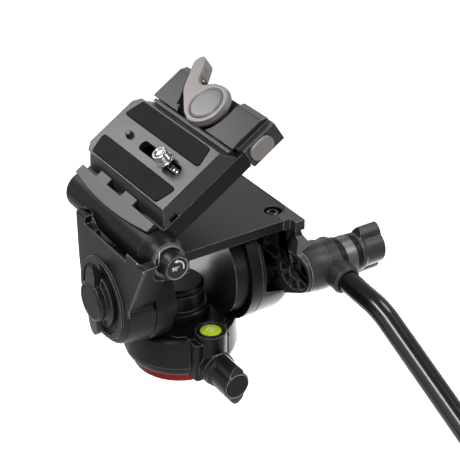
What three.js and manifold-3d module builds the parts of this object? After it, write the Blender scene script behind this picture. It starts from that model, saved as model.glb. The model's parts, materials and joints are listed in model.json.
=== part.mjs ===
// Fluid head for a tripod: pan housing, tilt frame, flip platform, quick release plate and pan bar.
// Millimetres. +Z is up, +Y is the lens side, +X is the operator's right hand.
// The origin is the centre of the underside of the base disc, on the pan axis.
import * as THREE from 'three';
import { mergeVertices } from 'three/addons/utils/BufferGeometryUtils.js';
import Module from 'manifold-3d';

const wasm = await Module();
wasm.setup();

// Facets round a full circle
const fineSides = 40;
const midSides = 28;
const smallSides = 16;
const cornerSteps = 4;

// Clearances
const fitGap = 0.3;
const slideGap = 0.6;
const overrun = 3;

// Base disc, thread insert and pan spindle
const baseRadius = 30.5;
const baseThickness = 6.5;
const baseChamfer = 0.8;
const insertRadius = 8;
const threadBoreRadius = 4.6;
const spindleFlangeRadius = 14;
const spindleFlangeThickness = 4;
const spindleRadius = 7;
const washerInnerRadius = 17;
const washerOuterRadius = 28;
const washerThickness = 1;

// Pan housing
const housingRadius = 36.4;
const housingFootRadius = 33;
const housingBulgeHeight = 14;
const housingFootRise = 2.6;
const housingTopRadius = 35;
const deckHeight = 33;
const deckRound = 2;
const hubRadius = 18.8;
const hubTop = 41;
const hubRound = 1.2;
const postRadius = 15.5;
const postTop = 51.4;
const capRadius = 15.8;
const capTop = 56;
const capRound = 1.6;
const capGrooveHeight = 1.1;
const capGrooveDepth = 0.7;
const capSpigotLength = 2;

// Rear tower with the bubble level and the seat of the pan lock knob
const towerLeft = -13;
const towerRight = 12;
const towerRear = 41;
const towerFront = 31;
const towerFoot = 7.6;
const towerTop = 33.6;
const towerCorner = 3;
const bubbleX = 0.5;
const bubbleRear = 36;
const bubbleColumnRadius = 9.8;
const bubbleColumnFoot = 8;
const bubbleTop = 38.6;
const bubbleRingRadius = 8.3;
const bubbleRingWall = 1.3;
const bubbleRingRise = 0.6;
const bubbleDepth = 5;
const bubbleFloor = 1.5;
const bubbleDome = 0.5;
const panKnobHeight = 15.5;
const panKnobSeatRadius = 11;
const panKnobSeatLength = 5.3;

// Tilt axis and the two drums that carry it
const tiltHeight = 61;
const leftDrumOuter = -34;
const leftDrumInner = -20.8;
const leftDrumRadius = 32.6;
const rightDrumInner = 20.5;
const rightDrumOuter = 32;
const rightDrumInnerRadius = 31.6;
const rightDrumRadius = 35;
const drumFaceDepth = 5;
const drumFaceInnerRadius = 20;
const drumEdgeRound = 1;
const shaftRadius = 8;
const bushWall = 2.2;
const bushLength = 10;
const drumEndWall = 2;
const sidePocketGap = 1;

// Left side plate of the tilt frame
const plateOuter = -52.5;
const plateInner = -34.9;
const plateFront = 30;
const plateRoundHeight = 62;
const plateOuterRadius = 30.5;
const plateInnerRadius = 33;
const plateTopRear = 107.4;
const plateTopFront = 107;
const plateNotchFloor = 102;
const plateWall = 1.5;
const plateWallFloor = 88;
const plateHipHeight = 106.4;
const plateHipDepth = 3;
const hollowFront = 9;
const plateNotchRear = -31;
const plateNotchFront = 19;
const plateRearTop = -53.6;
const plateRearKneeY = -30;
const plateRearKneeHeight = 66;
const plateBevel = 1.6;
const guardRadius = 26;
const guardWall = 3.2;
const guardRise = 1.8;
const webBottom = 84.5;
const webRight = -14;
const webDepth = 6;
const rearWebRear = -37;
const frontWebRear = 23.5;

// Top plate of the tilt frame
const topPlateTop = 99.5;
const topPlateThickness = 6.7;
const topPlateRear = -37.5;
const topPlateFront = 29;
const topPlateRight = 63.5;
const topPlateCorner = 4;
const earInset = 1.2;
const torxX = 53.2;
const torxRear = 23.5;
const torxRadius = 5.5;
const torxDepth = 3.6;
const torxHeadRadius = 4.6;
const torxHeadHeight = 2.6;

// Right bracket with the rosette of the pan bar
const bracketInner = 46.5;
const bracketFaceAtWheel = 54.5;
const bracketLean = 0.185;
const bracketPocketDepth = 6;
const bracketWebInner = 61;
const bracketOuter = 67;
const rosetteRear = 45.5;
const rosetteHeight = 66;
const wheelRadius = 13.5;
const wheelRim = 2.1;
const wheelHubRadius = 6;
const wheelBoreRadius = 3.8;
const spokeCount = 8;
const spokeWidth = 2;
const bossRadius = 14;
const bossFace = 70;
const rosetteTeeth = 24;
const rosetteDepth = 1.1;
const bracketRearTop = 43.3;
const bracketNeckRear = 39;
const bracketNeckTop = 91;
const bracketNeckHeight = 86.5;
const bracketTopStep = 94;
const bracketRampFoot = 79.3;
const bracketFootRadius = 27.6;
const wheelArcStart = 100;
const ribWidth = 1.8;
const ribReach = 28;
// Headings of the ribs that run from the wheel to the drum, in degrees from the lens side
const ribHeadings = [38, 12.5, -15, -43];
const shoulderTop = 63.2;
const shoulderHigh = 92;
const shoulderLow = 82;
const earLeft = 51.2;
const earFront = 30.6;
const earCornerX = 58;
const earCornerRear = 28.6;
const blockLeft = 56.4;
const bracketThinnest = 3.4;

// Friction drum cover on the right side of the tilt frame
const flangeInner = 33;
const flangeOuter = 36;
const flangeRadius = 39.3;
const flangeSkirtStart = 28.6;
const flangeSkirtInner = 36.2;
const coverOuter = 62.4;
const coverRadius = 39.3;
const coverRound = 10;
const coverWall = 3;
// Opening in the rear of the cover, which the bracket's ribbed arm fills
const windowLeft = 38.8;
const windowFront = 18.5;
const windowTop = 27.6;
const windowRise = 5.6;
const drumTopFlat = topPlateTop - topPlateThickness - fitGap;

// Hinge of the flip platform
const hingeX = -32.1;
const hingeHeight = 102.5;
const flipAngle = 33;
const barrelRadius = 13;
const barrelFront = 60;
const barrelRear = -33.2;
const barrelRound = 2;
const troughClearance = 0.4;
const jawTroughRadius = 15.5;
const jawTroughRear = -31;
const knuckleRear = -43.5;
const knuckleRearRadius = 9.9;
const knuckleFrontRadius = 12.9;
const hingeShaftRadius = 4;
const hingeShaftRear = -46;
const hingeShaftFront = 56;
const hingeCapRadius = 6.4;
const hingeCapThickness = 3.6;
const flipButtonRadius = 8;
const flipButtonRear = -54.2;
const flipButtonTravel = 3.5;
const flipButtonSeat = 4;
const flipButtonRound = 0.9;
const flipButtonRecess = 0.6;
const flipButtonRim = 1.3;
const flipButtonWall = 3.4;

// Flip platform, in the hinge's own frame
const deckTop = 8.7;
const deckUnderside = -2.7;
const deckRight = 73.6;
const deckFront = 60;
const plateSeat = 9;

// Fixed jaw
const jawTop = 14.7;
const jawHalfLength = 44;
const jawCentre = 14;
const jawOuterMid = -1.4;
const jawOuterEnd = 2.6;
const jawInner = 9;
const jawTooth = 13.7;
const farToothFront = 26;
const farToothRear = 13;
const nearToothFront = -4;
const nearToothRear = -18;
const jawSteps = 12;

// Camera plate
const cameraPlateTop = 21;
const cameraPlateLeft = 17;
const cameraPlateRight = 63;
const cameraPlateEdge = 2.2;
const dovetailLeft = 11;
const dovetailRight = 69;
const dovetailFoot = 1.6;
const cameraPlateRear = -33.2;
const cameraPlateFront = 61.2;
const plateCornerCut = 5;
const slotHalfWidth = 3.3;
const slotRear = -34.6;
const slotFront = 10;
const slotCentre = 14;
const channelHalfWidth = 9.6;
const channelTop = 16.5;
const channelEndRoom = 6;
const padRecess = 1.2;
const padRise = 0.5;
const padInner = 9.2;
const padOuter = 21.6;
const padHalfLength = 43;
const padCornerCut = 4.5;
const pinAhead = 23.3;
const pinRadius = 2.2;
const pinHeadRadius = 3.4;
const pinHeadHeight = 2;
const pinRise = 2.6;
const pinTravel = 2.4;
const pinPocketFloor = 9;

// Camera screw on its slider
const screwAhead = -21;
const sliderFront = -15.5;
const sliderRear = -33.4;
const sliderHalfWidth = 2.9;
const sliderTop = 20.4;
const screwNeckRadius = 1.9;
const screwHeadRadius = 8.4;
const screwHeadBottom = 10;
const screwHeadTop = 15.4;
const screwTipBottom = 21.6;
const screwTipTop = 31.2;
const screwTipRadius = 4.7;
const screwThreadDepth = 0.7;
const screwThreadCount = 3;
const screwShoulderRadius = 3.1;
const screwShoulderTop = 23;

// Clamp housing
const clampTop = 15;
const clampInner = 70.5;
const clampOuter = 94;
const clampSkirtOuter = 98.4;
const clampBevelDrop = 2.4;
const clampHalfLength = 44.5;
const clampBlockRear = -50;
const clampBlockTop = 11;
const recessRadius = 21;
const recessFloor = 5.2;
const recessFrontU = 39;
const recessFrontV = 24;
const jawBarPocket = 72.6;
const clampSkin = 1.6;

// Lever of the clamp
const leverX = 84.3;
const leverAhead = 0.5;
const leverRadius = 15.5;
const leverBottom = 7.2;
const leverTop = 16.4;
const leverSkirtBottom = 13.5;
const leverCamRadius = 11.6;
const leverAngle = 56;
const leverReach = 44;
const leverTipRadius = 6.4;
const leverArmWidth = 15;
const leverArmBottom = 8;
const leverCapRadius = 11.2;
const leverCapDepth = 2;
const leverCapRise = 0.3;
const pivotRadius = 5;

// Sliding jaw bar of the clamp
const barInner = 65.9;
const barOuter = 70.2;
const barTop = 13.2;
const barHalfLength = 43;

// Safety button of the clamp
const safetyX = 83.8;
const safetyHeight = 4.6;
const safetyHalfWidth = 8.3;
const safetyRadius = 5.6;
const safetyRear = -52;
const safetyLength = 11.5;
const safetyTravel = 3.5;

// Pan bar clamp
const clampHubInner = 70.4;
const clampHubOuter = 82;
const clampHubOuterRadius = 15.6;
const collarWidth = 4.8;
const collarOuter = clampHubOuter + collarWidth;
const collarRadius = 13.5;
const brightRingWidth = 4;
const brightRingOuter = collarOuter + brightRingWidth;
const brightRingRadius = 12.2;
const knobCollarWidth = 8.2;
const knobCollarOuter = brightRingOuter + knobCollarWidth;
const knobCollarRadius = 12.4;
const boltRadius = 3.5;
const boltInner = 58;
const boltReach = 13;
const boltOuter = knobCollarOuter + boltReach;
const socketX = 78;
const socketRadius = 9.5;
const socketReach = 23.4;
const socketRound = 1.2;
// The left drum keeps its full rim below these heights over the tilt axis
const sweepRearFloor = 6.5;
const sweepFrontFloor = -10;
const barRadius = 7;
const barWall = 1.5;
const barInset = 14.6;
const barPitch = 4.6;
const barBendStart = 45;
const barBendRadius = 58;
const barBendAngle = 20.5;
const barTailLength = 268;
const barBendSteps = 8;
const gripRadius = 11.5;
const gripLength = 110;
const gripOverlap = 104;
const gripRibCount = 8;
const gripRibDepth = 0.8;
const endCapRadius = 12;
const endCapLength = 7;

// Lock knobs: a round body with two wings
const tiltKnobBase = -52.5;
const tiltKnobLength = 8.8;
const tiltKnobBody = 13;
const tiltKnobFlange = 17;
const tiltKnobReach = 25;
const tiltKnobCap = 10.4;
const panKnobLength = 20.4;
const panKnobBody = 8.8;
const panKnobFlange = 10.4;
const panKnobReach = 14.5;
const panKnobCap = 7.4;
const barKnobLength = 18.6;
const barKnobBody = 11.2;
const barKnobFlange = 12.2;
const barKnobReach = 17.5;
const barKnobCap = 8;
const knobFlangeHeight = 2.4;
const knobCapDepth = 1.4;
const knobStudRadius = 3;
const knobStudLength = 7;
const knobRound = 1.4;
const wingHalfWidth = 4.6;

const degree = Math.PI / 180;
const half = 1 / 2;

// Materials
function finish(color, roughness, metalness) {
  return new THREE.MeshStandardMaterial({ color, roughness, metalness });
}

const castBlack = finish(0x232325, 0.45, 0.3);
const satinBlack = finish(0x1b1b1d, 0.38, 0.3);
const softBlack = finish(0x161617, 0.6, 0.0);
const plateGrey = finish(0x66676a, 0.42, 0.6);
const padRubber = finish(0x2e2e30, 0.9, 0.0);
const jawGrey = finish(0x707175, 0.4, 0.5);
const clampGrey = finish(0x4c4d50, 0.4, 0.5);
const leverGrey = finish(0xa39c98, 0.5, 0.3);
const capGrey = finish(0x9a9a9a, 0.45, 0.4);
const steel = finish(0xd8d8da, 0.15, 1.0);
const brushed = finish(0xb8b8ba, 0.35, 0.9);
const redAnodised = finish(0xa81c14, 0.35, 0.7);
const bubbleGreen = finish(0xb4c81e, 0.2, 0.0);
const bubbleWhite = finish(0xd9dcc8, 0.4, 0.0);
const glossBlack = finish(0x0e0e0f, 0.18, 0.2);

// Geometry helpers
function outward(geometry) {
  const p = geometry.attributes.position;
  const index = geometry.index.array;
  const a = new THREE.Vector3();
  const b = new THREE.Vector3();
  const c = new THREE.Vector3();
  let volume = 0;
  for (let i = 0; i < index.length; i += 3) {
    a.fromBufferAttribute(p, index[i]);
    b.fromBufferAttribute(p, index[i + 1]);
    c.fromBufferAttribute(p, index[i + 2]);
    volume += a.dot(b.cross(c));
  }
  if (volume < 0) {
    for (let i = 0; i < index.length; i += 3) {
      const kept = index[i + 1];
      index[i + 1] = index[i + 2];
      index[i + 2] = kept;
    }
  }
  return geometry;
}

function bare(geometry) {
  const plain = geometry.clone();
  plain.deleteAttribute('normal');
  plain.deleteAttribute('uv');
  const merged = mergeVertices(plain);
  const index = merged.index.array;
  const kept = [];
  for (let i = 0; i < index.length; i += 3) {
    const [a, b, c] = [index[i], index[i + 1], index[i + 2]];
    if (a !== b && b !== c && c !== a) kept.push(a, b, c);
  }
  merged.setIndex(kept);
  return outward(merged);
}

function toSolid(geometry) {
  const plain = bare(geometry);
  return new wasm.Manifold(new wasm.Mesh({
    numProp: 3,
    vertProperties: new Float32Array(plain.attributes.position.array),
    triVerts: new Uint32Array(plain.index.array),
  }));
}

function toGeometry(solid) {
  const mesh = solid.getMesh();
  const geometry = new THREE.BufferGeometry();
  geometry.setAttribute('position', new THREE.BufferAttribute(mesh.vertProperties, 3));
  geometry.setIndex(new THREE.BufferAttribute(mesh.triVerts, 1));
  geometry.computeVertexNormals();
  return geometry;
}

function join(...pieces) {
  return toGeometry(pieces.map(toSolid).reduce((whole, next) => whole.add(next)));
}

function cut(body, ...tools) {
  return toGeometry(tools.map(toSolid).reduce((whole, next) => whole.subtract(next), toSolid(body)));
}

function common(body, tool) {
  return toGeometry(toSolid(body).intersect(toSolid(tool)));
}

// Turns a shape pushed or turned along Z so that it points along X, Y or Z
const turnTo = {
  x: new THREE.Matrix4().set(0, 0, 1, 0, 1, 0, 0, 0, 0, 1, 0, 0, 0, 0, 0, 1),
  y: new THREE.Matrix4().set(1, 0, 0, 0, 0, 0, 1, 0, 0, 1, 0, 0, 0, 0, 0, 1),
  z: new THREE.Matrix4(),
};

function pointed(geometry, axis) {
  return bare(geometry.applyMatrix4(turnTo[axis]));
}

function moved(geometry, x, y, z) {
  return geometry.translate(x, y, z);
}

// Revolves a closed profile of [radius, place along the axis] pairs
function turned(axis, profile, sides = midSides) {
  const points = profile.map(([r, s]) => new THREE.Vector2(r, s));
  const lathe = new THREE.LatheGeometry([...points, points[0]], sides);
  lathe.rotateX(Math.PI * half);
  return pointed(lathe, axis);
}

function disc(axis, radius, from, to, sides = midSides) {
  return turned(axis, [[0, from], [radius, from], [radius, to], [0, to]], sides);
}

function ring(axis, inner, outer, from, to, sides = midSides) {
  return turned(axis, [[inner, from], [outer, from], [outer, to], [inner, to]], sides);
}

// Pushes an outline of [a, b] pairs along an axis: (y, z) for x, (x, z) for y, (x, y) for z
function pushed(axis, outline, from, to, holes = [], bevel = 0) {
  const shape = new THREE.Shape(outline.map(([a, b]) => new THREE.Vector2(a, b)));
  for (const hole of holes) {
    shape.holes.push(new THREE.Path(hole.map(([a, b]) => new THREE.Vector2(a, b))));
  }
  const body = new THREE.ExtrudeGeometry(shape, {
    depth: to - from - bevel - bevel,
    steps: 1,
    bevelEnabled: bevel > 0,
    bevelThickness: bevel,
    bevelSize: bevel,
    bevelOffset: -bevel,
    bevelSegments: 1,
    curveSegments: cornerSteps,
  });
  body.translate(0, 0, from + bevel);
  return pointed(body, axis);
}

function box(x0, x1, y0, y1, z0, z1) {
  const body = new THREE.BoxGeometry(x1 - x0, y1 - y0, z1 - z0);
  return moved(body, (x0 + x1) * half, (y0 + y1) * half, (z0 + z1) * half);
}

// Rounds the corners of an outline; each corner is [a, b, radius]
function rounded(corners, steps = cornerSteps) {
  const points = [];
  const count = corners.length;
  for (let i = 0; i < count; i++) {
    const [a, b, radius = 0] = corners[i];
    const corner = new THREE.Vector2(a, b);
    const before = new THREE.Vector2(...corners[(i + count - 1) % count].slice(0, 2)).sub(corner);
    const after = new THREE.Vector2(...corners[(i + 1) % count].slice(0, 2)).sub(corner);
    if (radius === 0) {
      points.push([a, b]);
      continue;
    }
    const opening = Math.acos(before.clone().normalize().dot(after.clone().normalize()));
    const most = Math.min(before.length(), after.length()) * 0.49;
    const back = Math.min(radius / Math.tan(opening * half), most);
    const start = corner.clone().addScaledVector(before.normalize(), back);
    const end = corner.clone().addScaledVector(after.normalize(), back);
    const curve = new THREE.QuadraticBezierCurve(start, corner, end);
    for (const p of curve.getPoints(steps)) points.push([p.x, p.y]);
  }
  return points;
}

// Points of an arc, angles in degrees
function arc(a, b, radius, from, to, steps) {
  const points = [];
  for (let i = 0; i <= steps; i++) {
    const angle = (from + (to - from) * i / steps) * degree;
    points.push([a + radius * Math.cos(angle), b + radius * Math.sin(angle)]);
  }
  return points;
}

function circle(a, b, radius, sides = smallSides) {
  return arc(a, b, radius, 0, 360 - 360 / sides, sides - 1);
}

// Joins two outlines with the same number of points at two places along X
function lofted(outlineA, xA, outlineB, xB) {
  const count = outlineA.length;
  const positions = [];
  for (const [y, z] of outlineA) positions.push(xA, y, z);
  for (const [y, z] of outlineB) positions.push(xB, y, z);
  const contour = outlineA.map(([a, b]) => new THREE.Vector2(a, b));
  const faces = THREE.ShapeUtils.triangulateShape(contour, []);
  const index = [];
  for (const [a, b, c] of faces) {
    index.push(a, c, b);
    index.push(a + count, b + count, c + count);
  }
  for (let i = 0; i < count; i++) {
    const j = (i + 1) % count;
    index.push(i, j, j + count);
    index.push(i, j + count, i + count);
  }
  const geometry = new THREE.BufferGeometry();
  geometry.setAttribute('position', new THREE.Float32BufferAttribute(positions, 3));
  geometry.setIndex(index);
  return outward(geometry);
}

// A wing knob that points along +Z from 0, with a cap pocket and a stud
function wingKnob(size) {
  const { body, flange, reach, length, cap, studRadius, studLength } = size;
  const round = [
    [0, 0],
    [flange, 0],
    [flange, knobFlangeHeight],
    [body, knobFlangeHeight + knobRound],
    [body, length - knobRound],
    [body - knobRound, length],
    [0, length],
  ];
  const wingFoot = knobFlangeHeight * half;
  const wings = wingOutline(body, reach);
  const envelope = [
    [0, wingFoot],
    [body, wingFoot],
    [reach, wingFoot + knobFlangeHeight],
    [reach, length - knobFlangeHeight],
    [reach - knobRound, length - knobRound],
    [body, length - knobRound * half],
    [0, length - knobRound * half],
  ];
  const wingBody = common(pushed('z', wings, 0, length), turned('z', envelope));
  const solid = join(turned('z', round), wingBody, disc('z', studRadius, -studLength, knobRound));
  return cut(solid, disc('z', cap + fitGap, length - knobCapDepth - fitGap, length + overrun));
}

function wingOutline(body, reach) {
  const points = [];
  const lean = reach - wingHalfWidth;
  const waist = wingHalfWidth + knobRound;
  const corners = [
    [waist, 0, 0],
    [wingHalfWidth, lean, wingHalfWidth],
    [0, reach + knobRound * half, wingHalfWidth],
    [-wingHalfWidth, lean, wingHalfWidth],
    [-waist, 0, 0],
    [-wingHalfWidth, -lean, wingHalfWidth],
    [0, -reach - knobRound * half, wingHalfWidth],
    [wingHalfWidth, -lean, wingHalfWidth],
  ];
  for (const point of rounded(corners)) points.push(point);
  return points;
}

function knobCap(length, cap) {
  const seat = length - knobCapDepth;
  return disc('z', cap, seat, length - fitGap, midSides);
}

// Scene graph: one group for each frame that pieces are placed in
const head = new THREE.Group();
const tiltGroup = new THREE.Group();
tiltGroup.position.set(0, 0, tiltHeight);
const flipGroup = new THREE.Group();
flipGroup.position.set(hingeX, 0, hingeHeight - tiltHeight);
flipGroup.rotation.y = -flipAngle * degree;
const leverGroup = new THREE.Group();
leverGroup.position.set(leverX, leverAhead + jawCentre, 0);
const barGroup = new THREE.Group();
barGroup.position.set(0, -rosetteRear, rosetteHeight - tiltHeight);
head.add(tiltGroup);
tiltGroup.add(flipGroup, barGroup);
flipGroup.add(leverGroup);

function place(parent, name, geometry, material) {
  const mesh = new THREE.Mesh(geometry, material);
  mesh.name = name;
  parent.add(mesh);
  return mesh;
}

// Base
const housingFoot = baseThickness + fitGap;
const spindleBottom = baseThickness + fitGap;
const spindleTop = postTop - capSpigotLength - fitGap;

function baseDisc() {
  const bore = insertRadius + fitGap;
  return turned('z', [
    [bore, 0],
    [baseRadius - baseChamfer, 0],
    [baseRadius, baseChamfer],
    [baseRadius, baseThickness],
    [bore, baseThickness],
  ], fineSides);
}

function threadInsert() {
  return ring('z', threadBoreRadius, insertRadius, 0, baseThickness - fitGap, smallSides);
}

function panSpindle() {
  return turned('z', [
    [0, spindleBottom],
    [spindleFlangeRadius, spindleBottom],
    [spindleFlangeRadius, spindleBottom + spindleFlangeThickness],
    [spindleRadius, spindleBottom + spindleFlangeThickness],
    [spindleRadius, spindleTop],
    [0, spindleTop],
  ], smallSides);
}

function panWasher() {
  const from = baseThickness + fitGap;
  return ring('z', washerInnerRadius, washerOuterRadius, from, from + washerThickness, midSides);
}

place(head, 'base_disc', baseDisc(), redAnodised);
place(head, 'thread_insert', threadInsert(), brushed);
place(head, 'pan_spindle', panSpindle(), steel);
place(head, 'pan_washer', panWasher(), softBlack);

// Pan housing: a turned body with a rear tower, pockets for the drums and the swinging frame
function housingShell() {
  const flangeTop = spindleBottom + spindleFlangeThickness + fitGap;
  const bore = spindleRadius + fitGap;
  const washerTop = housingFoot + washerThickness + fitGap;
  return turned('z', [
    [spindleFlangeRadius + fitGap, housingFoot],
    [washerInnerRadius - fitGap, housingFoot],
    [washerInnerRadius - fitGap, washerTop],
    [washerOuterRadius + fitGap, washerTop],
    [washerOuterRadius + fitGap, housingFoot],
    [housingFootRadius, housingFoot],
    [(housingFootRadius + housingRadius) * half + fitGap, housingFoot + housingFootRise],
    [housingRadius, housingBulgeHeight],
    [housingTopRadius + fitGap, deckHeight - deckRound],
    [housingTopRadius - deckRound, deckHeight],
    [hubRadius, deckHeight],
    [hubRadius, hubTop - hubRound],
    [hubRadius - hubRound, hubTop],
    [postRadius, hubTop],
    [postRadius, postTop],
    [bore, postTop],
    [bore, flangeTop],
    [spindleFlangeRadius + fitGap, flangeTop],
  ], fineSides);
}

function tower() {
  const block = pushed('z', rounded([
    [towerLeft, -towerFront, 0],
    [towerLeft, -towerRear, towerCorner],
    [towerRight, -towerRear, towerCorner],
    [towerRight, -towerFront, 0],
  ]), towerFoot, towerTop);
  const trimmed = cut(block, disc('z', baseRadius + fitGap, 0, housingFoot, fineSides));
  const column = disc('z', bubbleColumnRadius, bubbleColumnFoot, bubbleTop);
  column.translate(bubbleX, -bubbleRear, 0);
  const seat = disc('y', panKnobSeatRadius, -towerRear - panKnobSeatLength, -towerFront);
  seat.translate(0, 0, panKnobHeight);
  return join(trimmed, column, seat);
}

function drumPocket(radius, from, to) {
  return moved(disc('x', radius, from, to, fineSides), 0, 0, tiltHeight);
}

function panHousing() {
  const whole = join(housingShell(), tower());
  const bubbleHole = disc('z', bubbleRingRadius + fitGap, bubbleTop - bubbleDepth, bubbleTop + overrun);
  bubbleHole.translate(bubbleX, -bubbleRear, 0);
  const stud = knobStudRadius + fitGap;
  const depth = -towerRear - panKnobSeatLength + knobStudLength + fitGap;
  const studHole = moved(disc('y', stud, -towerRear - overrun - panKnobSeatLength, depth, smallSides), 0, 0,
    panKnobHeight);
  return cut(
    whole,
    bubbleHole,
    studHole,
    disc('z', spindleRadius + fitGap, 0, postTop + overrun, smallSides),
    drumPocket(leftDrumRadius + fitGap, plateInner, leftDrumInner + fitGap),
    drumPocket(plateInnerRadius + plateBevel + sidePocketGap, plateOuter, plateInner + sidePocketGap * half),
    rightDrumSolid(fitGap),
    drumPocket(flangeRadius + sidePocketGap, flangeSkirtStart - slideGap, coverOuter),
  );
}

// Clearance of the barrel as it swings round the left drum
function barrelSweep() {
  const reach = barrelRadius + slideGap;
  const axis = hingeHeight - tiltHeight;
  const profile = [];
  for (const [x, s] of arc(hingeX, axis, reach, 180, 360, midSides * half)) profile.push([s, x]);
  profile.push([leftDrumRadius + overrun + reach, hingeX + reach]);
  profile.push([leftDrumRadius + overrun + reach, hingeX - reach]);
  const sweep = turned('x', profile, fineSides);
  const lowest = leftDrumRadius + overrun + reach;
  const rear = box(hingeX - reach, hingeX + reach, -lowest, overrun, sweepRearFloor, lowest);
  const front = box(hingeX - reach, hingeX + reach, 0, lowest, sweepFrontFloor, lowest);
  return common(sweep, join(rear, front));
}

function drumBore(face, away) {
  const bore = shaftRadius + bushWall + fitGap;
  const [from, to] = face < away ? [face - overrun, away] : [away, face + overrun];
  return disc('x', bore, from, to, midSides);
}

function leftDrum() {
  const body = turned('x', [
    [0, leftDrumOuter],
    [leftDrumRadius - drumEdgeRound, leftDrumOuter],
    [leftDrumRadius, leftDrumOuter + drumEdgeRound],
    [leftDrumRadius, leftDrumInner - drumEdgeRound],
    [leftDrumRadius - drumEdgeRound, leftDrumInner],
    [0, leftDrumInner],
  ], fineSides);
  return cut(body, drumBore(leftDrumOuter, leftDrumInner - drumEndWall), barrelSweep());
}

function rightDrumSolid(clearance = 0) {
  const solid = turned('x', [
    [0, rightDrumInner - clearance],
    [rightDrumInnerRadius + clearance, rightDrumInner - clearance],
    [rightDrumRadius + clearance, rightDrumOuter],
    [0, rightDrumOuter],
  ], fineSides);
  return clearance > 0 ? solid.translate(0, 0, tiltHeight) : solid;
}

function rightDrum() {
  const cone = turned('x', [
    [0, rightDrumInner - overrun],
    [rightDrumInnerRadius - drumEdgeRound, rightDrumInner - overrun],
    [rightDrumInnerRadius - drumEdgeRound, rightDrumInner],
    [drumFaceInnerRadius, rightDrumInner + drumFaceDepth],
    [0, rightDrumInner + drumFaceDepth],
  ], fineSides);
  const end = rightDrumInner + drumFaceDepth + drumEndWall;

  return cut(rightDrumSolid(), cone, drumBore(rightDrumOuter, end));
}

function panCap() {
  const spigot = spindleRadius;
  const groove = postTop + fitGap + capGrooveHeight;
  return turned('z', [
    [0, postTop - capSpigotLength],
    [spigot, postTop - capSpigotLength],
    [spigot, postTop + fitGap],
    [capRadius - capGrooveDepth, postTop + fitGap],
    [capRadius - capGrooveDepth, groove],
    [capRadius, groove],
    [capRadius, capTop - capRound],
    [capRadius - capRound, capTop],
    [0, capTop],
  ]);
}

function bubbleLevel() {
  const floor = bubbleTop - bubbleDepth + fitGap;
  const inner = bubbleRingRadius - bubbleRingWall;
  return moved(turned('z', [
    [0, floor],
    [bubbleRingRadius, floor],
    [bubbleRingRadius, bubbleTop + bubbleRingRise],
    [inner, bubbleTop + bubbleRingRise],
    [inner, floor + bubbleFloor],
    [0, floor + bubbleFloor],
  ], midSides), bubbleX, -bubbleRear, 0);
}

function bubbleWindow() {
  const inner = bubbleRingRadius - bubbleRingWall - fitGap;
  const floor = bubbleTop - bubbleDepth + fitGap + bubbleFloor + fitGap;
  return moved(turned('z', [
    [0, floor],
    [inner, floor],
    [inner, bubbleTop],
    [inner * half, bubbleTop + bubbleDome],
    [0, bubbleTop + bubbleDome],
  ], midSides), bubbleX, -bubbleRear, 0);
}

function bush(from, to) {
  return ring('x', shaftRadius + fitGap, shaftRadius + bushWall, from, to, smallSides);
}

const leftBushEnd = leftDrumOuter + bushLength;
const rightBushStart = rightDrumInner + drumFaceDepth + drumEndWall + fitGap;

place(head, 'pan_housing', panHousing(), castBlack);
place(tiltGroup, 'left_drum', leftDrum(), castBlack);
place(tiltGroup, 'right_drum', rightDrum(), castBlack);
place(tiltGroup, 'left_tilt_bush', bush(leftDrumOuter + fitGap, leftBushEnd), brushed);
place(tiltGroup, 'right_tilt_bush', bush(rightBushStart, rightDrumOuter), brushed);
place(head, 'pan_cap', panCap(), softBlack);
place(head, 'bubble_level', bubbleLevel(), bubbleWhite);
place(head, 'bubble_window', bubbleWindow(), bubbleGreen);

// Lock knobs
function knobAt(parent, name, size, turn, at, materials) {
  const body = wingKnob(size);
  const cap = knobCap(size.length, size.cap);
  const group = new THREE.Group();
  group.position.set(...at);
  group.rotation.set(...turn);
  parent.add(group);
  place(group, name, body, materials[0]);
  place(group, name + '_cap', cap, materials[1]);
}

const quarter = Math.PI * half;

function knobSize(body, flange, reach, length, cap) {
  return { body, flange, reach, length, cap, studRadius: knobStudRadius, studLength: knobStudLength };
}

knobAt(head, 'pan_knob',
  knobSize(panKnobBody, panKnobFlange, panKnobReach, panKnobLength, panKnobCap),
  [quarter, 0, 0], [0, -towerRear - panKnobSeatLength - fitGap, panKnobHeight], [satinBlack, softBlack]);

// Left side plate: lofted between two outlines, with the knuckle of the flip hinge
function sidePlateOutline(radius, inset) {
  const round = plateRoundHeight - tiltHeight;
  const knee = plateRearKneeHeight - tiltHeight;
  const top = plateTopRear - tiltHeight;
  const bottom = arc(0, round, radius, 180, 360, cornerSteps * cornerSteps);
  const outline = [
    [plateRearTop + inset, top - inset],
    [plateRearKneeY - inset, knee],
  ];
  for (const point of bottom) outline.push(point);
  outline.push([Math.max(plateFront, radius), round + radius * half]);
  outline.push([plateFront, top - inset]);
  return outline;
}

function sidePlateCore() {
  const outer = sidePlateOutline(plateOuterRadius, 0);
  const inner = sidePlateOutline(plateInnerRadius, 0);
  const face = sidePlateOutline(plateOuterRadius - plateBevel, plateBevel);
  return join(
    lofted(face, plateOuter, outer, plateOuter + plateBevel),
    lofted(outer, plateOuter + plateBevel, inner, plateInner),
  );
}

function hingeCylinder(radius, from, to, sides = fineSides) {
  return moved(disc('y', radius, from, to, sides), hingeX, 0, hingeHeight - tiltHeight);
}

function knuckle() {
  const body = turned('y', [
    [0, knuckleRear],
    [knuckleRearRadius - knobRound, knuckleRear],
    [knuckleRearRadius, knuckleRear + knobRound],
    [knuckleFrontRadius, barrelRear - fitGap],
    [0, barrelRear - fitGap],
  ], fineSides);
  return moved(body, hingeX, 0, hingeHeight - tiltHeight);
}

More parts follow.
